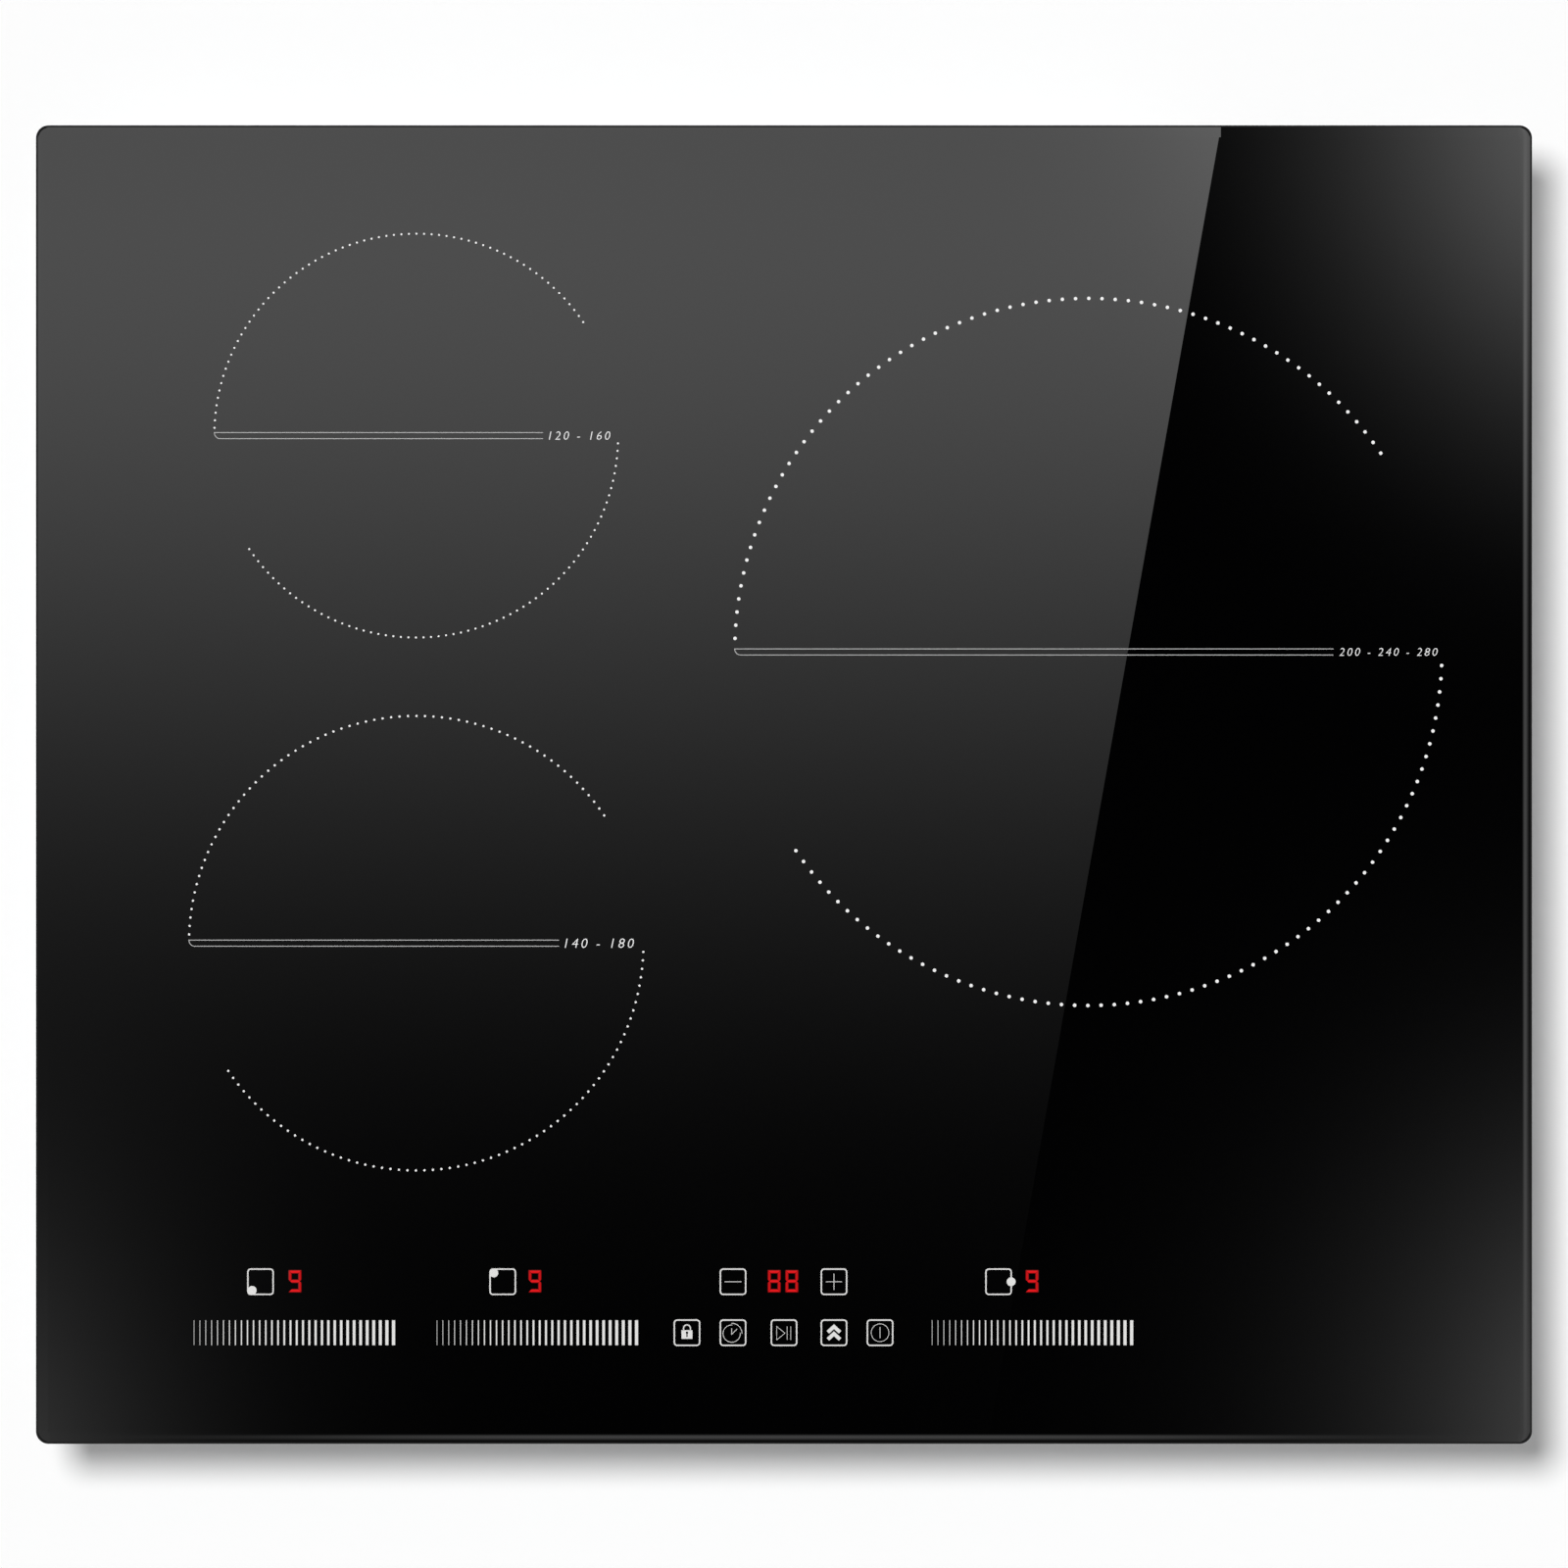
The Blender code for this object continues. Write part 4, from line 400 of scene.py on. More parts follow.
class Formula:
    """A number, colour or vector that a node tree works out: arithmetic on it adds nodes to the tree."""

    __add__ = operation("ADD")
    __sub__ = operation("SUBTRACT")
    __mul__ = operation("MULTIPLY")
    __truediv__ = operation("DIVIDE")
    at_least = operation("MAXIMUM")
    at_most = operation("MINIMUM")
    below = operation("LESS_THAN")
    unsigned = operation("ABSOLUTE")
    fraction = operation("FRACT")
    exp = operation("EXPONENT")
    root = operation("SQRT")
    log = operation("LOGARITHM")

    def __init__(self, tree, socket):
        self.tree = tree
        self.socket = socket

    def rest(self):
        """What is left of 1."""
        return self * -1 + 1

    def blend(self, start, end):
        """0 at start and 1 at end, with a smooth change between them."""
        smooth = {"interpolation_type": "SMOOTHSTEP"}
        return add_node(self.tree, "MapRange", smooth, Value=self, From_Min=start, From_Max=end, output=0)

    def spread(self, low, high):
        """0 to 1 drawn out from low to high."""
        return add_node(self.tree, "MapRange", Value=self, To_Min=low, To_Max=high, output=0)


def bell(value, centre, spread):
    """exp(-((value - centre) / spread)^2 / 2)."""
    away = (value - centre) / spread
    return (away * away * -0.5).exp()


def patch(x, y, across, along, level):
    """A level times two bells, each with its centre and spread: one of x and one of y."""
    return bell(x, *across) * bell(y, *along) * level


def plateau(value, spread):
    """exp(-(value / spread)^4), which stays near 1 until it falls off towards the spread."""
    away = value / spread
    squared = away * away
    return (squared * squared * -1).exp()


def glow(x, y, centre, reach, softness):
    """exp(s - sqrt(s^2 + X^2 + Y^2)), with X and Y the distances from the centre over the reach.

    It is a bell near its centre and dies away exponentially further out.
    """
    across = (x - centre[0]) / reach[0]
    along = (y - centre[1]) / reach[1]
    distance = (across * across + along * along + softness * softness).root()
    return (distance * -1 + softness).exp()


def texture(tree, kind, vector, scale, settings=None, output="Fac", **values):
    """One output of a texture node."""
    return add_node(tree, f"Tex{kind}", settings, Vector=vector, Scale=scale, output=output, **values)


def mixed(tree, factor, first, second):
    """A colour between two others."""
    node = add_node(tree, "Mix", {"data_type": "RGBA"}, factor)
    fill(tree, node.inputs[MIX_FIRST], first)
    fill(tree, node.inputs[MIX_SECOND], second)
    return Formula(tree, node.outputs[MIX_RESULT])


def split(tree, kind, value, names):
    """The channels of a vector or a colour."""
    node = add_node(tree, f"Separate{kind}", None, value)
    return [Formula(tree, node.outputs[name]) for name in names]


def light_path(tree, *rays):
    """One Formula for each kind of ray, which is 1 for such a ray and otherwise 0."""
    path = add_node(tree, "LightPath")
    return [Formula(tree, path.outputs[f"Is {ray} Ray"]) for ray in rays]


def object_coordinates(tree):
    """A point's place in the object, which is its place in the frame."""
    return add_node(tree, "TexCoord", output="Object")


def bare_material(name):
    """A new material with a Principled BSDF and its output, and nothing else."""
    material = bpy.data.materials.new(name)
    material.use_nodes = True
    tree = material.node_tree
    tree.nodes.clear()
    shader = add_node(tree, "BsdfPrincipled")
    add_node(tree, "OutputMaterial", Surface=Formula(tree, shader.outputs["BSDF"]))
    return material, tree, shader


def solid(paint):
    """A colour of three numbers as an opaque one of four."""
    return (*paint, 1)


def dimmed(paint, factor):
    """A colour times a factor."""
    return tuple(channel * factor for channel in paint)


# what a pattern group is given: name, kind of socket, default
PATTERN_INPUTS = (
    ("Vector", "Vector", (0, 0, 0)),
    ("Scale", "Float", 200.0),
    ("Light", "Color", (0.8, 0.8, 0.8, 1.0)),
    ("Dark", "Color", (0.6, 0.6, 0.6, 1.0)),
    ("Smooth", "Float", 0.3),
    ("Rough", "Float", 0.5),
)
PART_INPUTS = (("Parts", "Color", (0.03, 0.03, 0.03, 1.0)), ("Top", "Float", 1.0))
PATTERN_OUTPUTS = (("Color", "Color"), ("Roughness", "Float"), ("Height", "Float"))
# the Mix node's sockets for colours
MIX_FIRST = 6
MIX_SECOND = 7
MIX_RESULT = 2
CRYSTAL_WARP = (0.002, 0.002, 0.002)

# Each pattern gives its tone, from the light colour at 0 to the dark one at 1, its wear, from smooth to
# rough, and its height.


def grain(tree, vector, scale, _):
    """Moulded or cast grain: a fine noise for wear and height, and a coarser one for the tone."""
    fine = texture(tree, "Noise", vector, scale, Detail=4.0, Roughness=0.6)
    return texture(tree, "Noise", vector, scale * 0.12, Detail=3.0), fine, fine


def spangle(tree, vector, scale, _):
    """Hot-dip zinc: crystals of one tone each, softened by a noise, with fine seams between them."""
    warp = texture(tree, "Noise", vector, scale, output="Color", Detail=2.0)
    bent = add_node(tree, "VectorMath", {"operation": "MULTIPLY_ADD"}, warp, CRYSTAL_WARP, vector, output=0)
    crystals = texture(tree, "Voronoi", bent, scale, output="Color")
    tone, wear = split(tree, "Color", crystals, ("Red", "Green"))
    seams = texture(tree, "Voronoi", bent, scale, {"feature": "DISTANCE_TO_EDGE"}, "Distance")
    fine = texture(tree, "Noise", vector, 900.0, Detail=3.0)
    return tone, wear * 0.7 + fine * 0.3, seams.blend(0.0, 0.08) * 0.6 + fine * 0.4


def brushed(tree, vector, scale, _):
    """Rolled or brushed metal: a noise drawn out fifty times along X."""
    long = add_node(tree, "Mapping", Vector=vector, Scale=(0.02, 1.0, 1.0), output=0)
    lines = texture(tree, "Noise", long, scale, Detail=5.0, Roughness=0.7)
    return texture(tree, "Noise", vector, 30.0, Detail=3.0), lines, lines


def cells(tree, vector, scale, _):
    """Closed-cell foam or pressed mica: small round cells, dark between them."""
    away = texture(tree, "Voronoi", vector, scale, output="Distance")
    broad = texture(tree, "Noise", vector, 60.0, Detail=3.0)
    return away * 0.7 + broad * 0.3, away, away.rest()


def strands(tree, vector, scale, _):
    """A wound band of twisted wires: rings round Z, crossed by a finer wave, with noise in the tone."""
    ringed = {"wave_type": "RINGS", "rings_direction": "Z"}
    rings = texture(tree, "Wave", vector, scale, ringed, Distortion=1.5, Detail=2.0)
    twist = texture(tree, "Wave", vector, scale, {"bands_direction": "DIAGONAL"})
    wires = rings * 0.65 + twist * 0.35
    return texture(tree, "Noise", vector, 120.0, Detail=3.0), wires, wires


def ribs(tree, vector, scale, _):
    """Side by side wires of a flat cable: a wave along X for tone and height, and a noise for the wear."""
    wave = texture(tree, "Wave", vector, scale, {"bands_direction": "X"})
    return wave, texture(tree, "Noise", vector, 90.0, Detail=3.0), wave


def tracks(tree, vector, scale, given):
    """Solder resist over copper tracks, with what stands above a height in a colour of its own.

    The sheet is split into cells that are nearly square. A cell holds tracks along X, tracks along Y, or
    plain copper, by chance. Copper shows lighter and a little raised. A fourth value is 1 on the parts.
    """
    size = scale * 0.12
    square = {"distance": "CHEBYCHEV"}
    near = add_node(tree, "TexVoronoi", square, Vector=vector, Scale=size, Randomness=0.75)
    far = texture(tree, "Voronoi", vector, size, {**square, "feature": "F2"}, "Distance", Randomness=0.75)
    turned, plain = split(tree, "Color", Formula(tree, near.outputs["Color"]), ("Red", "Green"))
    x, y, z = split(tree, "XYZ", vector, "XYZ")
    lane = (y + turned.blend(0.49, 0.51) * (x - y)) * scale
    track = (lane.fraction() - 0.5).unsigned().blend(0.26, 0.20)
    apart = far - Formula(tree, near.outputs["Distance"])
    copper = track.at_least(plain.blend(0.74, 0.76)) * apart.blend(0.04, 0.08)
    part = (z - given["Top"]).blend(-0.02 * MM, 0.02 * MM)
    fine = texture(tree, "Noise", vector, 2500.0, Detail=2.0)
    height = (fine * 0.1 + copper * 0.9) * (part * -0.9 + 1)
    return copper.rest(), fine * 0.6 + part * 0.4, height, part


# pattern: name of its node group, function, further inputs
PATTERNS = {
    "grain": ("Moulded Grain", grain, ()),
    "spangle": ("Zinc Spangle", spangle, ()),
    "brushed": ("Brushed Lines", brushed, ()),
    "cells": ("Foam Cells", cells, ()),
    "strands": ("Litz Strands", strands, ()),
    "ribs": ("Cable Ribs", ribs, ()),
    "tracks": ("Board Tracks", tracks, PART_INPUTS),
}


def pattern_group(key):
    """A pattern as a shader node group, made the first time that it is asked for."""
    name, pattern, further = PATTERNS[key]
    if name in bpy.data.node_groups:
        return bpy.data.node_groups[name]
    tree = bpy.data.node_groups.new(name, "ShaderNodeTree")
    for label, kind, default in PATTERN_INPUTS + further:
        socket = tree.interface.new_socket(name=label, in_out="INPUT", socket_type=f"NodeSocket{kind}")
        socket.default_value = default
    for label, kind in PATTERN_OUTPUTS:
        tree.interface.new_socket(name=label, in_out="OUTPUT", socket_type=f"NodeSocket{kind}")
    given = {socket.name: Formula(tree, socket) for socket in tree.nodes.new("NodeGroupInput").outputs}
    tone, wear, height, *parts = pattern(tree, given["Vector"], given["Scale"], given)
    paint = mixed(tree, tone, given["Light"], given["Dark"])
    for part in parts:
        paint = mixed(tree, part, paint, given["Parts"])
    rough = wear.spread(given["Smooth"], given["Rough"])
    wire(tree, tree.nodes.new("NodeGroupOutput"), Color=paint, Roughness=rough, Height=height)
    return tree


def patterned(
    name, light, key, scale, dark_share, wear, bump, metallic=0.0, stretch=(1, 1, 1), centre=(0, 0), **more
):
    """A material whose colour, roughness and bump all come from one pattern group on Object coordinates."""
    material, tree, shader = bare_material(name)
    shift = [-place * factor for place, factor in zip((*centre, 0), stretch)]
    vector = add_node(
        tree, "Mapping", Vector=object_coordinates(tree), Location=shift, Scale=stretch, output=0
    )
    pattern = add_node(
        tree, "Group", {"node_tree": pattern_group(key)}, Vector=vector, Scale=scale, Light=solid(light),
        Dark=solid(dimmed(light, dark_share)), Smooth=wear[0], Rough=wear[1], **more
    )
    colours, rough, height = (Formula(tree, pattern.outputs[label]) for label, _ in PATTERN_OUTPUTS)
    relief = add_node(tree, "Bump", Height=height, Distance=bump, output=0)
    wire(tree, shader, Base_Color=colours, Metallic=metallic, Roughness=rough, Normal=relief)
    return material


def shared_material(name, maker, *values):
    """The material of that name, made the first time that it is asked for."""
    return bpy.data.materials.get(name) or maker(name, *values)


# ---------------- Finishes ----------------

# material slot: pattern, its scale per metre, dark colour as a share of the light one, least and most
# roughness, bump, metallic, stretch along X, Y and Z
FINISHES = {
    "foam": ("cells", 1300.0, 0.35, (0.80, 0.95), 0.25 * MM),
    "silicone": ("grain", 500.0, 0.70, (0.22, 0.40), 0.06 * MM),
    "frame_steel": ("brushed", 1100.0, 0.84, (0.26, 0.42), 0.02 * MM, 1.0),
    "galvanised_sheet": ("spangle", 280.0, 0.82, (0.30, 0.50), 0.03 * MM, 1.0),
    "motor_steel": ("brushed", 1500.0, 0.86, (0.18, 0.34), 0.01 * MM, 1.0, (1, 1, 50)),
    "screw": ("grain", 900.0, 0.85, (0.20, 0.36), 0.02 * MM, 1.0),
    "aluminium": ("brushed", 1300.0, 0.82, (0.24, 0.42), 0.02 * MM, 1.0),
    "mica": ("cells", 260.0, 0.76, (0.34, 0.60), 0.04 * MM),
    "black_plastic": ("grain", 2200.0, 0.70, (0.40, 0.58), 0.05 * MM),
    "grey_plastic": ("grain", 2200.0, 0.84, (0.42, 0.60), 0.05 * MM),
    "white_plastic": ("grain", 1600.0, 0.93, (0.30, 0.46), 0.02 * MM),
    "ribbon": ("ribs", 247.0, 0.80, (0.40, 0.55), 0.15 * MM),
    "rubber": ("grain", 1200.0, 0.70, (0.50, 0.72), 0.08 * MM),
    "black_lead": ("grain", 1800.0, 0.70, (0.40, 0.58), 0.03 * MM),
    "red_lead": ("grain", 1800.0, 0.85, (0.36, 0.52), 0.03 * MM),
    "display": ("grain", 1500.0, 0.80, (0.05, 0.12), 0.005 * MM),
}
# the same for fired enamel print, for litz and for the boards
INK = ("grain", 5000.0, 0.93, (0.30, 0.45), 0.004 * MM)
LITZ = ("strands", 520.0, 0.60, (0.25, 0.45), 0.12 * MM, 1.0)
BOARD = ("tracks", 420.0, 0.45, (0.22, 0.50), 0.04 * MM)
COILS = ("front_left", "rear_left", "right")
BOARDS = ("power_board_left", "power_board_right", "filter_board", "touch_board")
BOARD_SHEET = 1.6 * MM
OVER_SHEET = 0.05 * MM


def middle(node):
    """The middle of a CAD node's box, as x and y."""
    low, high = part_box(node)
    return np.array(((low.x + high.x) / 2, (low.y + high.y) / 2))


def title_of(name):
    """A node's or slot's name as a title."""
    return name.replace("_", " ").title()


def finish(slot, settings):
    """The finish of a material slot."""
    return shared_material(title_of(slot), patterned, getattr(settings, slot), *FINISHES[slot])


def winding_finish(coil, settings):
    """Enamelled litz whose strands run in rings round the coil's own middle."""
    centre = middle(f"coil_winding_{coil}")
    return patterned(f"Litz {coil.replace('_', ' ')}", settings.copper, *LITZ, centre=centre)


def board_finish(board, settings):
    """Green resist with tracks on the board's sheet, and moulded black on all that stands above it."""
    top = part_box(board)[0].z + BOARD_SHEET + OVER_SHEET
    parts = solid(settings.board_parts)
    return patterned(title_of(board), settings.circuit_board, *BOARD, Parts=parts, Top=top)


def dress(node, material):
    """Puts a material in every slot of a CAD node."""
    for entry in frame["nodes"][node].material_slots:
        entry.material = material


# ---------------- Glass and print ----------------


def plate_shape(settings):
    """The glass plate as rings of one outline, drawn in and lifted along an edge profile.

    From below: the chamfer, the upright side, a small quarter round up to the edge's tilt, then an arc
    of one radius: inset = run - radius sin t and height = top - radius (1 - cos t), with the slope t
    falling from the tilt to nothing, and a last ring on the flat.
    """
    top = INK_TOP - settings.ink
    low = PLATE_LOW[2]
    small = settings.arris
    tilt = settings.edge_tilt
    turn = np.linspace(math.pi / 2, tilt, ARRIS_STEPS)
    slope = np.linspace(tilt, 0, EDGE_STEPS)
    radius = (settings.edge_run - small * (1 - math.sin(tilt))) / math.sin(tilt)
    shoulder = top - radius * (1 - math.cos(tilt))
    flat = (settings.edge_run + settings.corner) / 2
    inset = np.concatenate((
        (small, 0), small * (1 - np.sin(turn)), settings.edge_run - radius * np.sin(slope[1:]), (flat,)
    ))
    height = np.concatenate((
        (low, low + small),
        shoulder + small * (np.cos(turn) - math.cos(tilt)),
        top - radius * (1 - np.cos(slope[1:])),
        (top,),
    ))
    corner = settings.corner
    outline, normals = rounded_outline(PLATE_LENGTH, PLATE_WIDTH, corner, PLATE_CORNER_STEPS, corner / 10)
    return skin(lifted(outline - normals * inset[:, None, None], height))


def glass_material(name, settings):
    """Black ceramic glass: a mirror-smooth face with faint wiping marks, over an almost black body."""
    material, tree, shader = bare_material(name)
    vector = object_coordinates(tree)
    wiped = add_node(tree, "Mapping", Vector=vector, Scale=(1.0, 6.0, 1.0), output=0)
    marks = texture(tree, "Noise", wiped, 9.0, Detail=6.0)
    body = texture(tree, "Noise", vector, 400.0, Detail=2.0)
    tones = mixed(tree, body, solid(settings.tint), solid(dimmed(settings.tint, 0.5)))
    wire(tree, shader, IOR=1.5, Base_Color=tones, Roughness=marks.spread(0.001, 0.0036))
    return material


def lit_material(name, light):
    """A lit segment behind glass: light of one colour, full on the segment's core and gone at its rim."""
    material, tree, shader = bare_material(name)
    cloud = texture(tree, "Noise", object_coordinates(tree), 700.0, Detail=2.0)
    bright = add_node(tree, "Attribute", {"attribute_name": LIT}, output="Fac")
    level = bright * (cloud * 0.2 + 0.9)
    shine = add_node(tree, "VectorMath", {"operation": "SCALE"}, light, Scale=level, output=0)
    wire(tree, shader, Base_Color=(0.001, 0.0005, 0.0005, 1), Roughness=cloud.spread(0.02, 0.05))
    wire(tree, shader, Emission_Color=shine, Emission_Strength=1.0)
    return material


def build_print(name, shape, material):
    """A mark on the glass."""
    return build_piece(name, shape, material)


# zone, radius, where its lines end as a share of the radius, numbers, their height
ZONES = (
    ("rear_left", 79.6 * MM, 0.628, "120 - 160", 3.3 * MM),
    ("front_left", 89.6 * MM, 0.628, "140 - 180", 3.7 * MM),
    ("right", 139.4 * MM, 0.693, "200 - 240 - 280", 3.1 * MM),
)
NUMBER_STYLE = {"shear": 0.2, "extrude": 0.5, "offset": -0.012, "space_character": 1.32, "resolution_u": 3}
# letters' points nearer than this are one
SAME_POINT = 0.0001 * MM


def ink_heights(settings):
    """From a little inside the glass to the top of the print."""
    return INK_TOP - settings.ink - INK_BITE, INK_TOP


def zone_ring(zone, centre, radius, heights):
    """Two arcs of dots: the rear arc's dots stand at equal angles, and the front arc is half a turn on."""
    rear = np.linspace(zone.arc_start, zone.arc_start + zone.arc_span, zone.dots)
    places = centre + polar(radius, np.concatenate((rear, rear + math.pi)))
    dot = prism(circle(zone.dot_share * radius / 2, DOT_SIDES), *heights)
    return joined([moved(dot, x, y) for x, y in places])


def zone_lines(zone, middle_y, left, right, heights):
    """A pair of lines from the ring's left end, closed there by a hook that drops from the upper line."""
    rear = middle_y + zone.line_gap / 2
    front = middle_y - zone.line_gap / 2
    bend = arc((left + zone.hook, rear), zone.hook, 185, 270, HOOK_STEPS)
    bend[:, 1] = rear - (rear - bend[:, 1]) * zone.line_gap / zone.hook
    path = np.vstack(([(right, rear), (left, rear)], bend, [(right, front)]))
    return stroke(path, zone.line_width, *heights)


def number_shape(text, height, left, middle_y, heights):
    """Slanted numbers in Blender's own font, as a solid between two heights.

    The letters are drawn at the origin, made a mesh, stretched to the wanted height there, and closed by
    making one point of those that share a place.
    """
    curve = bpy.data.curves.new("numbers", "FONT")
    curve.body = text
    for key, value in NUMBER_STYLE.items():
        setattr(curve, key, value)
    letters = new_object("numbers", curve)
    bpy.context.view_layer.update()
    mesh = bpy.data.meshes.new_from_object(letters.evaluated_get(bpy.context.evaluated_depsgraph_get()))
    bpy.data.objects.remove(letters)
    points = np.empty(len(mesh.vertices) * 3)
    mesh.vertices.foreach_get("co", points)
    points = points.reshape(-1, 3)
    faces = [list(polygon.vertices) for polygon in mesh.polygons]
    bpy.data.meshes.remove(mesh)
    low = points.min(axis=0)
    high = points.max(axis=0)
    scale = height / (high[1] - low[1])
    points[:, :2] = (points[:, :2] - (low[0], (low[1] + high[1]) / 2)) * scale + (left, middle_y)
    points[:, 2] = np.where(points[:, 2] > 0, heights[1], heights[0])
    rounded = (points / SAME_POINT).round()
    _, first, same = np.unique(rounded, axis=0, return_index=True, return_inverse=True)
    same = same.reshape(-1)
    return points[first], [same[face].tolist() for face in faces]


# ---------------- Controls ----------------

REAR_ROW = -196.0 * MM
FRONT_ROW = -216.1 * MM
INNER_KEY = 19.9 * MM
OUTER_KEY = 38.06 * MM
KEYS_MIDDLE = -0.2 * MM
DIGIT_RISE = 0.2 * MM

# name, middle of the slider, of its zone key and of its digit, and the zone dot's place on the key
SLIDERS = (
    ("front_left", -193.0 * MM, -206.4 * MM, -192.8 * MM, (-3.3, -3.4)),
    ("rear_left", -97.2 * MM, -110.9 * MM, -98.2 * MM, (-3.5, 3.5)),
    ("right", 98.0 * MM, 84.6 * MM, 97.8 * MM, (4.95, 0.0)),
)
# name, figure, middle
TIMER_DIGITS = (("timer_tens", "8", -3.87 * MM), ("timer_units", "8", 3.08 * MM))


def slider_shape(controls, middle_x, heights):
    """A row of bars whose width and pitch both grow in equal steps from the first to the last."""
    widths = np.linspace(controls.first_bar, controls.last_bar, controls.bars)
    pitches = np.linspace(controls.first_pitch, controls.last_pitch, controls.bars - 1)
    middles = np.concatenate(((0,), np.cumsum(pitches)))
    span = middles[-1] + (widths[0] + widths[-1]) / 2
    middles += middle_x - span / 2 + widths[0] / 2
    square = np.array(((-0.5, -0.5), (0.5, -0.5), (0.5, 0.5), (-0.5, 0.5)))
    bars = [
        prism(square * (width, controls.bar_height) + (x, FRONT_ROW), *heights)
        for x, width in zip(middles, widths)
    ]
    return joined(bars)


def key_square(controls, x, y, heights):
    """A key's square, as a line round a rounded outline that runs down the middle of its width."""
    size = controls.key - controls.key_stroke
    corner = controls.key_corner - controls.key_stroke / 2
    outline, _ = rounded_outline(size, size, corner, KEY_CORNER_STEPS, corner / 2)
    return stroke(outline + (x, y), controls.key_stroke, *heights, closed=True)


def drawn(width, heights, *lines, closed=False):
    """Lines of one width, given in millimetres from the key's middle."""
    return joined([stroke(np.array(line) * MM, width * MM, *heights, closed=closed) for line in lines])


def minus_symbol(heights):
    """One line."""
    return drawn(0.26, heights, ((-3.3, 0), (3.3, 0)))


def plus_symbol(heights):
    """One outline for two lines that cross: three corners of a quarter, turned four times."""
    arm = 3.2 * MM
    half = 0.12 * MM
    turns = [np.array(((half, half), (half, arm), (-half, arm)))]
    for _ in range(3):
        turns.append(left_of(turns[-1]))
    return prism(np.concatenate(turns), *heights)


def lock_symbol(heights):
    """A padlock: two halves of a body round a keyhole, and a shackle."""
    shackle = np.vstack(((-1.35, 0.9), arc((0, 1.75), 1.35, 180, 0, 12), (1.35, 0.9)))
    hole = np.vstack((arc((0, 0), 0.48, 90, 225, 8), ((-0.22, -0.6), (-0.3, -1.7))))
    left = np.vstack((((0, 1.0), (-2.15, 1.0), (-2.15, -2.4), (0, -2.4), (0, -1.7)), hole[::-1]))
    right = left[::-1] * (-1, 1)
    halves = [prism(half * MM, *heights) for half in (left, right)]
    return joined([*halves, drawn(0.45, heights, shackle)])


def timer_symbol(heights):
    """A clock: an open circle, a second arc over its gap, and two hands."""
    centre = (-0.53, -0.35)
    hands = ((-0.53, 1.75), (-0.53, -0.65), (1.6, 1.48))
    return drawn(0.22, heights, arc(centre, 3.4, 85, 365, 40), arc(centre, 4.08, 92, 0, 14), hands)


def pause_symbol(heights):
    """A triangle and two bars."""
    triangle = drawn(0.18, heights, ((-2.88, 2.5), (-2.88, -2.85), (0.38, -0.18)), closed=True)
    bars = drawn(0.18, heights, ((1.23, 2.5), (1.23, -2.8)), ((2.66, 2.5), (2.66, -2.8)))
    return joined([triangle, bars])


def boost_symbol(heights):
    """Two bold arrowheads that point up, one over the other."""
    return drawn(1.4, heights, *(((-2.4, base), (0, base + 2.2), (2.4, base)) for base in (-2.6, 0.2)))


def power_symbol(heights):
    """A circle round an upright line."""
    ring = drawn(0.2, heights, circle(3.5, RING_SIDES), closed=True)
    return joined([ring, drawn(0.22, heights, ((0, 2.2), (0, -2.1)))])


# name, symbol, place from the middle of the keys, row
KEYS = (
    ("minus", minus_symbol, -INNER_KEY, REAR_ROW),
    ("plus", plus_symbol, INNER_KEY, REAR_ROW),
    ("lock", lock_symbol, -OUTER_KEY, FRONT_ROW),
    ("timer", timer_symbol, -INNER_KEY, FRONT_ROW),
    ("pause", pause_symbol, -KEYS_MIDDLE, FRONT_ROW),
    ("boost", boost_symbol, INNER_KEY, FRONT_ROW),
    ("power", power_symbol, OUTER_KEY, FRONT_ROW),
)
SEGMENTS = {"9": "abcdfg", "8": "abcdefg"}
LEVEL_SEGMENTS = "adg"


def segment_rings(start, end, outside, corners, width, core):
    """The outline of a bar with pointed ends, and the outline of its bright core inside it.

    Each end is cut at 45 degrees from both sides, half the outline's width back from the tip. On the
    outside of a corner the shoulder reaches past the tip by as much instead, which fills the corner.
    """
    start = np.array(start, float)
    end = np.array(end, float)
    along = unit(end - start)
    across = left_of(along)
    rings = []
    for half in (width / 2, core / 2):
        shoulders = []
        for sign in (-1, 1):
            back = [-half if corner and sign == outside else half for corner in corners]
            side = across * half * sign
            shoulders.append((start + along * back[0] + side, end - along * back[1] + side))
        (low_right, high_right), (low_left, high_left) = shoulders
        rings.append((start, low_right, high_right, end, high_left, low_left))
    return rings


def digit_shape(settings, figure, heights):
    """A seven-segment figure about its middle: six corners joined by pointed bars, a gap apart.

    A bar's top is the core's face, with a rim that falls by a hair to the outline. It also gives the
    brightness of every point, which is 1 on the core of a level bar and 0 on its rim.
    """
    x = settings.width / 2
    y = settings.height / 2
    gap = settings.gap / 2
    low, high = heights
    segments = {
        "a": ((-x + gap, y), (x - gap, y), 1, (True, True)),
        "b": ((x, gap), (x, y - gap), -1, (False, True)),
        "c": ((x, -y + gap), (x, -gap), -1, (True, False)),
        "d": ((-x + gap, -y), (x - gap, -y), -1, (True, True)),
        "e": ((-x, -y + gap), (-x, -gap), 1, (True, False)),
        "f": ((-x, gap), (-x, y - gap), 1, (False, True)),
        "g": ((-x + gap, 0), (x - gap, 0), 0, (False, False)),
    }
    bars = []
    bright = []
    for name in SEGMENTS[figure]:
        outer, core = segment_rings(*segments[name], settings.stroke, settings.core)
        bars.append(skin(lifted((outer, outer, core), (low, high - INK_BITE / 4, high))))
        top = 1.0 if name in LEVEL_SEGMENTS else settings.upright
        bright.append(np.repeat((0.0, 0.0, top), len(outer)))
    return joined(bars), np.concatenate(bright)


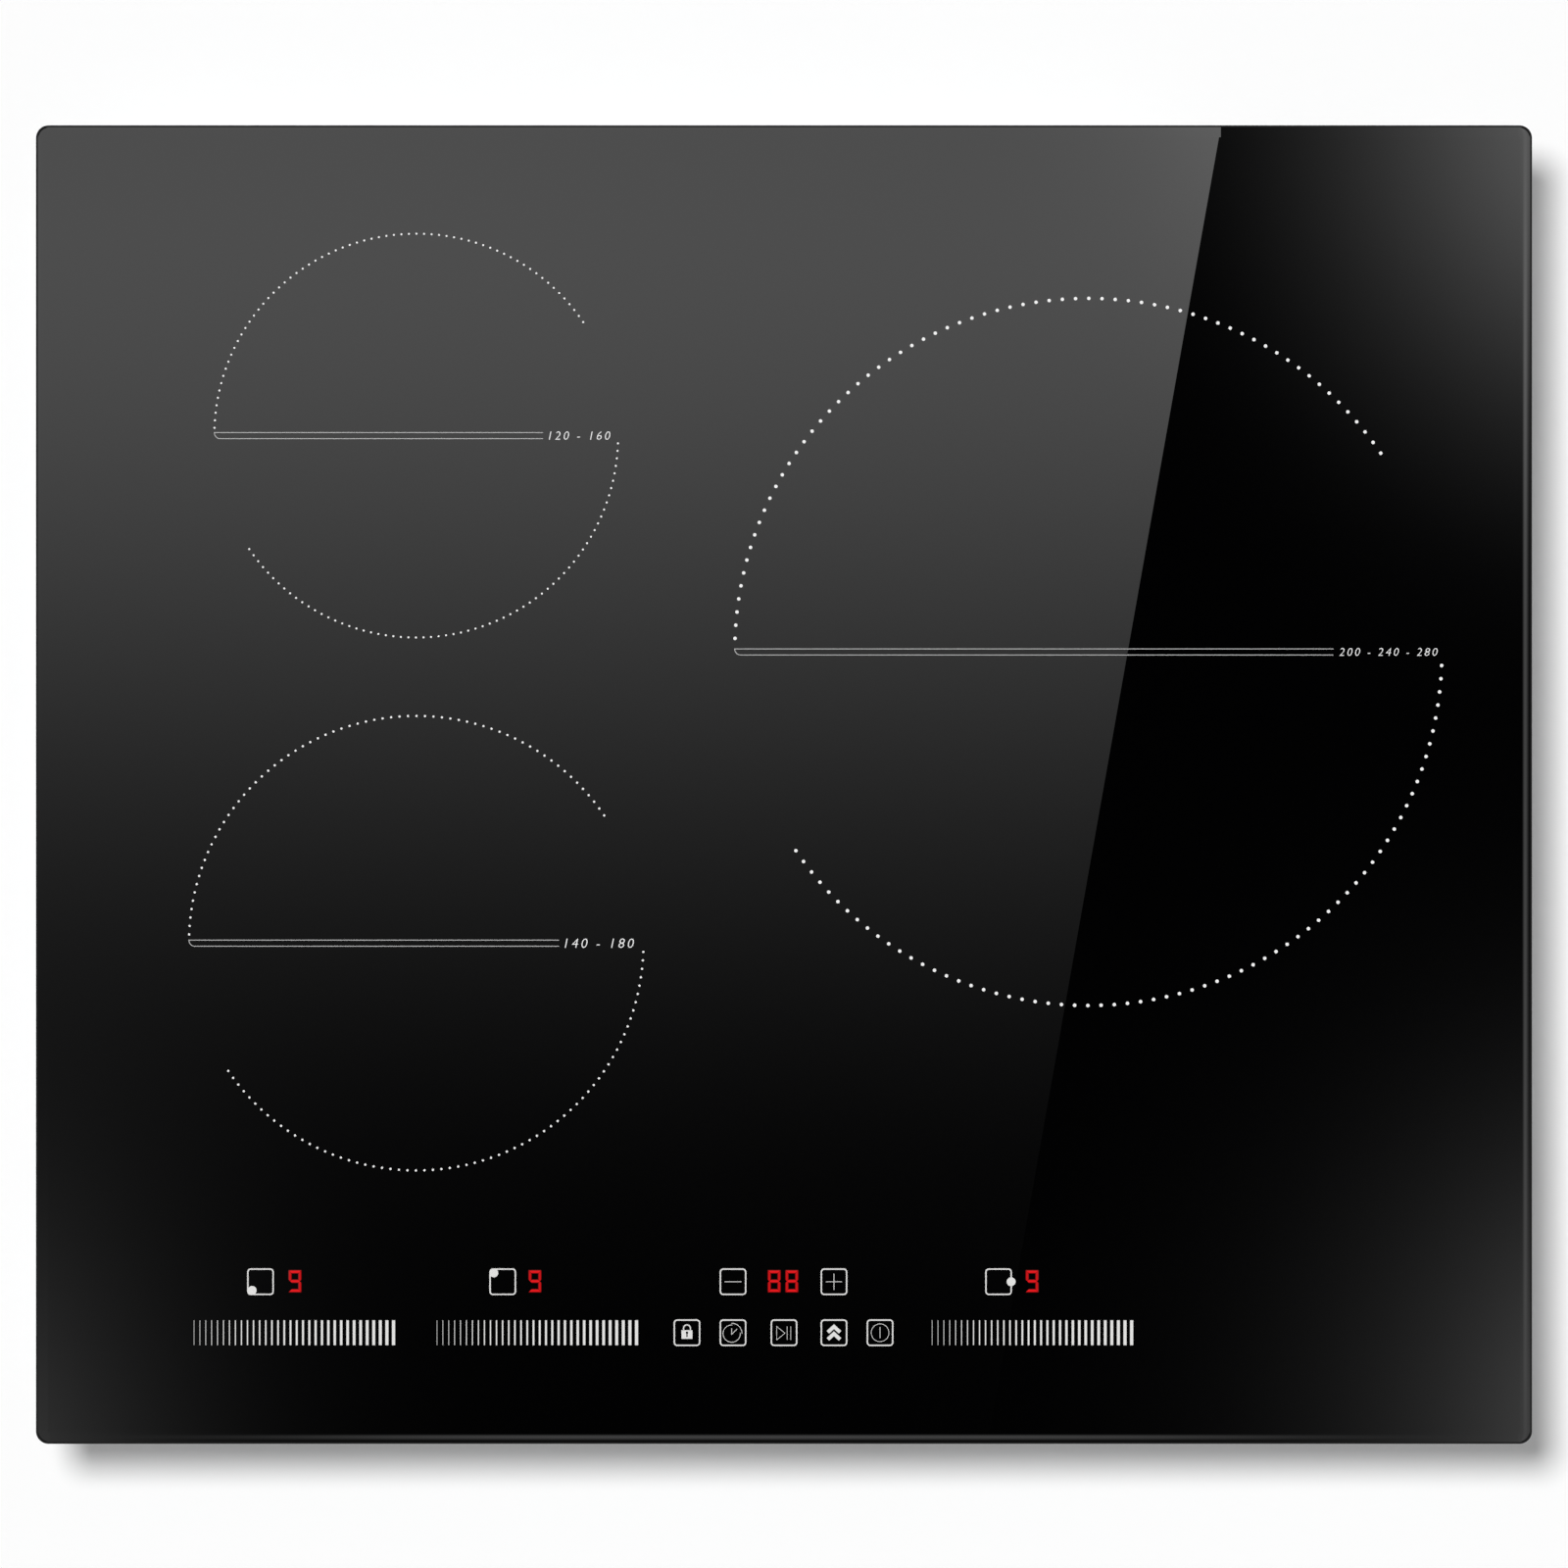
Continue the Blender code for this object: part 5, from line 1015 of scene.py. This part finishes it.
# ---------------- Screws and spot welds ----------------

FRONT, REAR, LEFT, RIGHT = (0, -1, 0), (0, 1, 0), (-1, 0, 0), (1, 0, 0)
# places of the frame screws and the welds, as shares of the frame's half and of the tray's height
FRAME_SCREWS_X = (-0.8, 0.0, 0.8)
FRAME_SCREWS_Y = (-0.75, 0.75)
WELD_HEIGHTS = (0.35, 0.7)
# sizes in head radii, and for the welds in weld radii
HEAD_HEIGHT = 0.6
HOUSING_INSET = 4
EARTH_INSET = 6
WASHER_RADIUS = 1.7
WASHER_HEIGHT = 0.2
BOLT_HEIGHT = 0.52
SHANK_RADIUS = 0.47
WELD_INSET = 9


def disc(radius, height_at, sides):
    """A round head on a wall, as a grid of radius and angle with its height worked out at each point.

    The rings run from the wall up the side, and from the rim in to the middle.
    """
    shares = np.concatenate(((1.0, 1.0), np.linspace(0.98, 0.02, DISC_RINGS)))
    rings = shares[:, None, None] * circle(1.0, sides)
    height = height_at(rings[..., 0], rings[..., 1])
    height[0] = 0.0
    return skin(np.concatenate((rings * radius, height[..., None]), axis=2))


def crossed_head(radius, height):
    """A pan head with a cross recess.

    The dome is height times (1 - 0.45 r^2), rounded down to 0.35 of that at the rim, less a cross: two
    bars 0.3 wide and 1.1 long, as shares of the radius, that deepen towards the middle.
    """

    def height_at(x, y):
        away = np.hypot(x, y)
        rim = np.sqrt(np.clip(1 - (np.clip(away - 0.72, 0, 1) / 0.31) ** 2, 0.12, 1))
        narrow = np.minimum(abs(x), abs(y))
        long = np.maximum(abs(x), abs(y))
        bars = np.clip((0.15 - narrow) / 0.05 + 0.5, 0, 1) * np.clip((0.55 - long) / 0.1 + 0.5, 0, 1)
        return height * ((1 - 0.45 * away**2) * rim - bars * (0.72 - 0.6 * away))

    return disc(radius, height_at, HEAD_SIDES)


def weld_mark(radius):
    """A spot weld: a floor 0.02 mm high, and on it a ring 0.16 mm high at 0.72 of the radius.

    The ring's height is 0.16 mm times exp(-((r - 0.72) / 0.13)^2), with r as a share of the radius.
    """

    def height_at(x, y):
        return 0.16 * MM * np.exp(-(((np.hypot(x, y) - 0.72) / 0.13) ** 2)) + 0.02 * MM

    return disc(radius, height_at, WELD_SIDES)


def on_wall(shape, outward, x, y, z):
    """A shape drawn on a wall: its X runs along the wall, its Y up, and its Z out of the wall."""
    points, faces = shape
    up = np.array((0, 0, 1))
    basis = np.array((np.cross(up, outward), up, outward))
    return points @ basis + (x, y, z), faces


def frame_screws(settings):
    """Screws through the frame's flange into the tray: three in front and behind, two at each end."""
    low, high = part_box("glass_frame")
    z = (low.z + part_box("base_tray")[1].z) / 2
    head = crossed_head(settings.head_radius, settings.head_height)
    screws = []
    for part in FRAME_SCREWS_X:
        x = part * high.x
        screws += [on_wall(head, REAR, x, high.y, z), on_wall(head, FRONT, x, low.y, z)]
    for part in FRAME_SCREWS_Y:
        y = part * high.y
        screws += [on_wall(head, RIGHT, high.x, y, z), on_wall(head, LEFT, low.x, y, z)]
    return joined(screws)


def housing_screws(settings):
    """Two screws that hold the terminal housing from behind, beside the cable entry."""
    low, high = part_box("terminal_housing")
    radius = settings.housing_radius
    head = crossed_head(radius, HEAD_HEIGHT * radius)
    places = (low.x + HOUSING_INSET * radius, high.x - HOUSING_INSET * radius)
    return joined([on_wall(head, REAR, x, high.y, (low.z + high.z) / 2) for x in places])


def earth_screw(settings):
    """The earth screw on a plain round washer, on the rear wall beside the terminal housing."""
    low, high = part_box("terminal_housing")
    radius = settings.earth_radius
    thick = WASHER_HEIGHT * radius
    washer = prism(circle(WASHER_RADIUS * radius, RING_SIDES), 0, thick)
    head = moved(crossed_head(radius, HEAD_HEIGHT * radius), 0, 0, thick)
    place = (low.x - EARTH_INSET * radius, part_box("base_tray")[1].y, (low.z + high.z) / 2)
    return joined([on_wall(part, REAR, *place) for part in (washer, head)])


def bracket_bolt(node):
    """A bracket's screw: a crossed pan head as large as the node's own, and its shank through the wall."""
    low, high = (np.array(corner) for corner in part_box(node))
    _, y, z = (low + high) / 2
    outward, tip = (RIGHT, high[0]) if high[0] > 0 else (LEFT, low[0])
    radius = (high[2] - low[2]) / 2
    height = BOLT_HEIGHT * radius
    shank = prism(circle(SHANK_RADIUS * radius, SHANK_SIDES), height - (high[0] - low[0]), 0)
    parts = (crossed_head(radius, height), shank)
    return joined([on_wall(part, outward, tip - outward[0] * height, y, z) for part in parts])


def spot_welds(settings):
    """Pairs of spot welds where the tray's walls lap at its four corners."""
    low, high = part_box("base_tray")
    mark = weld_mark(settings.weld_radius)
    inset = WELD_INSET * settings.weld_radius
    marks = []
    for part in WELD_HEIGHTS:
        z = part * high.z
        for y in (low.y + inset, high.y - inset):
            marks += [on_wall(mark, RIGHT, high.x, y, z), on_wall(mark, LEFT, low.x, y, z)]
    return joined(marks)


# name: shape, material slot
FIXINGS = {
    "frame_screws": (frame_screws, "screw"),
    "housing_screws": (housing_screws, "screw"),
    "earth_screw": (earth_screw, "screw"),
    "spot_welds": (spot_welds, "galvanised_sheet"),
}


# ---------------- Studio ----------------

FLOOR_HALF = 20.0
WHITE = (1, 1, 1, 1)
# how far the camera stands behind the plate's middle, and how far it sees
CAMERA_REAR = 0.24 * MM
CAMERA_REACH = 100
PLAIN_GLOSS = 0.04
# the broad panel's edge: how far it leans for each millimetre to the rear, and its place at the middle
PANEL_LEAN = 0.1767
PANEL_RIGHT = 126.1
# light under the panel, in millimetres: a band that is full to the rear of a line and falls off in front of
# it, with its spread and level, and a patch, with middle and spread along X and Y, and level
REAR_BAND = (230, 137, 0.0745)
PANEL_PATCH = ((246, 62), (350, 91), 0.113)
# the patch beside the panel
OPEN_PATCH = ((344, 66.7), (276, 70.9), 0.115)
# the strips' directions, as the distance from straight up over the height, and their spread as a logarithm
RIGHT_STRIP = 0.63
FRONT_STRIP = 0.60
STRIP_SPREAD = 0.43
# soft glows over the front corners: middle and reach in millimetres, softness, level
CORNER_GLOWS = (
    ((-340, -311), (31.6, 51.8), 1.68, 0.0586),
    ((360, -256), (37.4, 39.7), 1.56, 0.0902),
)


def build_floor(studio):
    """A pale floor. To the camera and in reflections a share of its brightness comes from itself."""
    material, tree, shader = bare_material("Floor")
    camera, glossy, through = light_path(tree, "Camera", "Glossy", "Transmission")
    seen = (camera + glossy + through).at_most(1.0)
    keep = seen * -studio.floor_glow + 1
    paint = add_node(tree, "VectorMath", {"operation": "SCALE"}, studio.floor, Scale=keep, output=0)
    wire(tree, shader, Base_Color=paint, Roughness=1.0, Specular_IOR_Level=0.0)
    wire(tree, shader, Emission_Color=WHITE, Emission_Strength=seen * studio.floor_glow)
    square = np.array(((-1, -1, 0), (1, -1, 0), (1, 1, 0), (-1, 1, 0))) * FLOOR_HALF
    floor = new_object("floor", new_mesh("floor", (square, [(0, 1, 2, 3)]), material))


def build_lamp(studio):
    """One broad soft lamp behind the left shoulder, high up. The world has its reflection."""
    lamp = bpy.data.lights.new("soft lamp", "SUN")
    lamp.angle = studio.lamp_size
    lamp.energy = studio.sun * math.pi
    holder = new_object("soft lamp", lamp)
    fall = -(PLATE_LOW[2] + PLATE_HIGH[2]) / 2
    beam = Vector((studio.shadow_right, -studio.shadow_front, fall))
    holder.rotation_euler = beam.to_track_quat("-Z", "Y").to_euler()
    holder.visible_glossy = False


def build_camera(studio):
    """A long lens straight over the plate, as high as the picture's width at the glass asks for."""
    camera = bpy.data.cameras.new("camera")
    camera.lens = studio.lens / MM
    height = studio.view_width * camera.lens / camera.sensor_width
    camera.clip_end = CAMERA_REACH
    holder = new_object("camera", camera)
    holder.location = (0, CAMERA_REAR, INK_TOP + height)
    bpy.context.scene.camera = holder
    return height


def studio_reflection(direction, height):
    """What polished surfaces see of the studio, as a level over the plain gloss of glass.

    x and y are where a direction would show in a level mirror far under the camera, in millimetres. A broad
    panel stands over the rear left, with a straight edge that leans to the right. Soft glows stand in
    the corners, and two strips to the right and in front show only in the rounded edges. Low down, and
    higher up between the axes, are dark walls of 0.10 + 0.55 (1 - Z)^3 over a white horizon.
    """
    east, north, up = direction
    steep = up.at_least(0.01)
    half_x, half_y = PLATE_LENGTH / 2 / MM, PLATE_WIDTH / 2 / MM
    x = (east * (height / MM)).at_least(-half_x).at_most(half_x)
    y = (north * (height / MM)).at_least(-half_y).at_most(half_y)
    panel = (x - y * PANEL_LEAN).below(PANEL_RIGHT)
    full, spread, level = REAR_BAND
    lit = bell((y - full).at_most(0.0), 0, spread) * level + patch(x, y, *PANEL_PATCH)
    unlit = patch(x, y, *OPEN_PATCH)
    pattern = unlit + panel * (lit - unlit)
    for centre, reach, softness, strength in CORNER_GLOWS:
        pattern = pattern + glow(x, y, centre, reach, softness) * strength
    right = (east / steep).at_least(0.01).log(math.e)
    front = (north / steep * -1).at_least(0.01).log(math.e)
    strip = plateau(y, 235) * 0.053 + bell(y, 168, 50) * 0.037
    pattern = pattern + bell(right, math.log(RIGHT_STRIP), STRIP_SPREAD) * strip
    pattern = pattern + bell(front, math.log(FRONT_STRIP), STRIP_SPREAD) * plateau(x, 195) * 0.049
    level = pattern / PLAIN_GLOSS
    aside = east.unsigned().at_most(north.unsigned()).blend(0.05, 0.30)
    low = (aside * up.blend(0.53, 0.40)).at_least(up.blend(0.45, 0.30))
    slant = up.rest()
    wall = slant * slant * slant * 0.55 + 0.10
    level = level + low * (wall - level)
    horizon = up.blend(0.15, 0.05)
    return level + horizon * level.rest()


def build_world(studio, height):
    """White to the camera, an even fill for the lighting, and the studio's panels in reflections."""
    world = bpy.data.worlds.new("studio")
    bpy.context.scene.world = world
    world.use_nodes = True
    world.cycles.sampling_method = "NONE"
    tree = world.node_tree
    tree.nodes.clear()
    direction = split(tree, "XYZ", add_node(tree, "TexCoord", output="Generated"), "XYZ")
    camera, through, glossy = light_path(tree, "Camera", "Transmission", "Glossy")
    white = camera + through
    even = (white + glossy).rest().at_least(0) * studio.sky
    strength = white + glossy * studio_reflection(direction, height) + even
    background = add_node(tree, "Background", Color=WHITE, Strength=strength, output="Background")
    add_node(tree, "OutputWorld", Surface=background)


# ---------------- Operators ----------------


def control_ink(controls):
    """The ink of the bars, keys and symbols."""
    return shared_material("Control Ink", patterned, controls.ink, *INK)


def glass_finish(settings):
    """The plate's finish."""
    return shared_material("Ceramic Glass", glass_material, settings)


class COOKTOP_OT_glass_plate(bpy.types.Operator):
    """Make the ceramic glass plate with its rounded edge"""

    bl_idname = "cooktop.glass_plate"
    bl_label = "Glass plate"

    def execute(self, context):
        settings = context.scene.cooktop_glass
        plate = build_print("cooking_plate", plate_shape(settings), glass_finish(settings))
        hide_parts("glass_panel")
        return {"FINISHED"}


class COOKTOP_OT_zone_marks(bpy.types.Operator):
    """Print the dotted rings, double lines and numbers of the cooking zones"""

    bl_idname = "cooktop.zone_marks"
    bl_label = "Zone marks"

    def execute(self, context):
        zone = context.scene.cooktop_zones
        heights = ink_heights(context.scene.cooktop_glass)
        ink = shared_material("Zone Ink", patterned, zone.ink, *INK)
        line_ink = shared_material("Line Ink", patterned, zone.line_ink, *INK)
        for name, radius, line_share, numbers, height in ZONES:
            x, y = centre = middle(f"coil_insulator_{name}")
            end = x + radius * line_share
            text = number_shape(numbers, height, end + zone.number_gap, y, heights)
            build_print(f"zone_ring_{name}", zone_ring(zone, centre, radius, heights), ink)
            build_print(f"zone_lines_{name}", zone_lines(zone, y, x - radius, end, heights), line_ink)
            build_print(f"zone_numbers_{name}", text, ink)
        return {"FINISHED"}


class COOKTOP_OT_sliders(bpy.types.Operator):
    """Print the bars of the three power sliders"""

    bl_idname = "cooktop.sliders"
    bl_label = "Sliders"

    def execute(self, context):
        controls = context.scene.cooktop_controls
        heights = ink_heights(context.scene.cooktop_glass)
        for name, slider_x, *_ in SLIDERS:
            shape = slider_shape(controls, slider_x, heights)
            build_print(f"slider_bars_{name}", shape, control_ink(controls))
        return {"FINISHED"}


class COOKTOP_OT_keys(bpy.types.Operator):
    """Print the key squares with their symbols and zone dots"""

    bl_idname = "cooktop.keys"
    bl_label = "Keys"

    def execute(self, context):
        controls = context.scene.cooktop_controls
        heights = ink_heights(context.scene.cooktop_glass)
        under_dot = (heights[0], heights[1] - INK_BITE / 2)
        ink = control_ink(controls)
        zone_dot = prism(circle(controls.zone_dot, KEY_DOT_SIDES), *heights)
        for name, _, key_x, _, dot in SLIDERS:
            x, y = np.array(dot) * MM + (key_x, REAR_ROW)
            build_print(f"zone_key_{name}", key_square(controls, key_x, REAR_ROW, under_dot), ink)
            build_print(f"zone_key_dot_{name}", moved(zone_dot, x, y), ink)
        for name, symbol, key_x, y in KEYS:
            x = key_x + KEYS_MIDDLE
            shape = joined((key_square(controls, x, y, heights), moved(symbol(heights), x, y)))
            build_print(f"key_{name}", shape, ink)
        return {"FINISHED"}


class COOKTOP_OT_digits(bpy.types.Operator):
    """Light the digits of the zone displays and the timer"""

    bl_idname = "cooktop.digits"
    bl_label = "Digits"

    def execute(self, context):
        digits = context.scene.cooktop_digits
        heights = ink_heights(context.scene.cooktop_glass)
        lit = shared_material("Lit Segment", lit_material, digits.glow)
        places = [(name, "9", x) for name, _, _, x, _ in SLIDERS]
        for name, figure, x in (*places, *TIMER_DIGITS):
            shape, bright = digit_shape(digits, figure, heights)
            piece = build_piece(f"digit_{name}", moved(shape, x, REAR_ROW + DIGIT_RISE), lit)
            piece.data.attributes.new(LIT, "FLOAT", "POINT").data.foreach_set("value", bright)
        return {"FINISHED"}


class COOKTOP_OT_finishes(bpy.types.Operator):
    """Give every CAD node the finish of its material slot"""

    bl_idname = "cooktop.finishes"
    bl_label = "Finishes"

    def execute(self, context):
        settings = context.scene.cooktop_finishes
        for name, node in frame["nodes"].items():
            slot = node.material_slots[0].material.name
            if slot in FINISHES:
                dress(name, finish(slot, settings))
        for coil in COILS:
            dress(f"coil_winding_{coil}", winding_finish(coil, settings))
        for board in BOARDS:
            dress(board, board_finish(board, settings))
        dress("glass_panel", glass_finish(context.scene.cooktop_glass))
        return {"FINISHED"}


class COOKTOP_OT_fixings(bpy.types.Operator):
    """Add the small screws and the spot welds"""

    bl_idname = "cooktop.fixings"
    bl_label = "Fixings"

    def execute(self, context):
        fixings = context.scene.cooktop_fixings
        finishes = context.scene.cooktop_finishes
        for name, (shape_of, slot) in FIXINGS.items():
            build_piece(name, shape_of(fixings), finish(slot, finishes))
        for side in ("front_left", "front_right", "rear_left", "rear_right"):
            node = f"bracket_screw_{side}"
            body = frame["nodes"][node]["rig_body"]
            shape = bracket_bolt(node)
            bolt = build_piece(f"bracket_bolt_{side}", shape, finish("screw", finishes), body)
            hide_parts(node)
        return {"FINISHED"}


class COOKTOP_OT_studio(bpy.types.Operator):
    """Set up the floor, the lamp, the world and the camera"""

    bl_idname = "cooktop.studio"
    bl_label = "Studio"

    def execute(self, context):
        studio = context.scene.cooktop_studio
        build_floor(studio)
        build_lamp(studio)
        build_world(studio, build_camera(studio))
        context.scene.view_settings.view_transform = "Standard"
        return {"FINISHED"}


class COOKTOP_PT_panel(bpy.types.Panel):
    """Lists the steps that dress the cooktop"""

    bl_idname = "COOKTOP_PT_panel"
    bl_label = "Cooktop"
    bl_space_type = "VIEW_3D"
    bl_region_type = "UI"
    bl_category = "Cooktop"

    def draw(self, context):
        for operator in OPERATORS:
            self.layout.operator(operator.bl_idname)
        for name in SETTINGS:
            box = self.layout.box()
            settings = getattr(context.scene, name)
            for key in settings.bl_rna.properties.keys():
                if key not in {"rna_type", "name"}:
                    box.prop(settings, key)


SETTINGS = {
    "cooktop_glass": CooktopGlassSettings,
    "cooktop_zones": CooktopZoneSettings,
    "cooktop_controls": CooktopControlSettings,
    "cooktop_digits": CooktopDigitSettings,
    "cooktop_fixings": CooktopFixingSettings,
    "cooktop_finishes": CooktopFinishSettings,
    "cooktop_studio": CooktopStudioSettings,
}
OPERATORS = (
    COOKTOP_OT_glass_plate,
    COOKTOP_OT_zone_marks,
    COOKTOP_OT_sliders,
    COOKTOP_OT_keys,
    COOKTOP_OT_digits,
    COOKTOP_OT_finishes,
    COOKTOP_OT_fixings,
    COOKTOP_OT_studio,
)
CLASSES = (*SETTINGS.values(), *OPERATORS, COOKTOP_PT_panel)


def register():
    """Adds the classes, and the settings to the scene."""
    for cls in CLASSES:
        bpy.utils.register_class(cls)
    for name, group in SETTINGS.items():
        setattr(bpy.types.Scene, name, PointerProperty(type=group))


def unregister():
    """Takes the settings and the classes out again."""
    for name in SETTINGS:
        delattr(bpy.types.Scene, name)
    for cls in reversed(CLASSES):
        bpy.utils.unregister_class(cls)


def main():
    """Runs every step in order."""
    register()
    for operator in OPERATORS:
        space, name = operator.bl_idname.split(".")
        getattr(getattr(bpy.ops, space), name)()


if __name__ == "__main__":
    main()
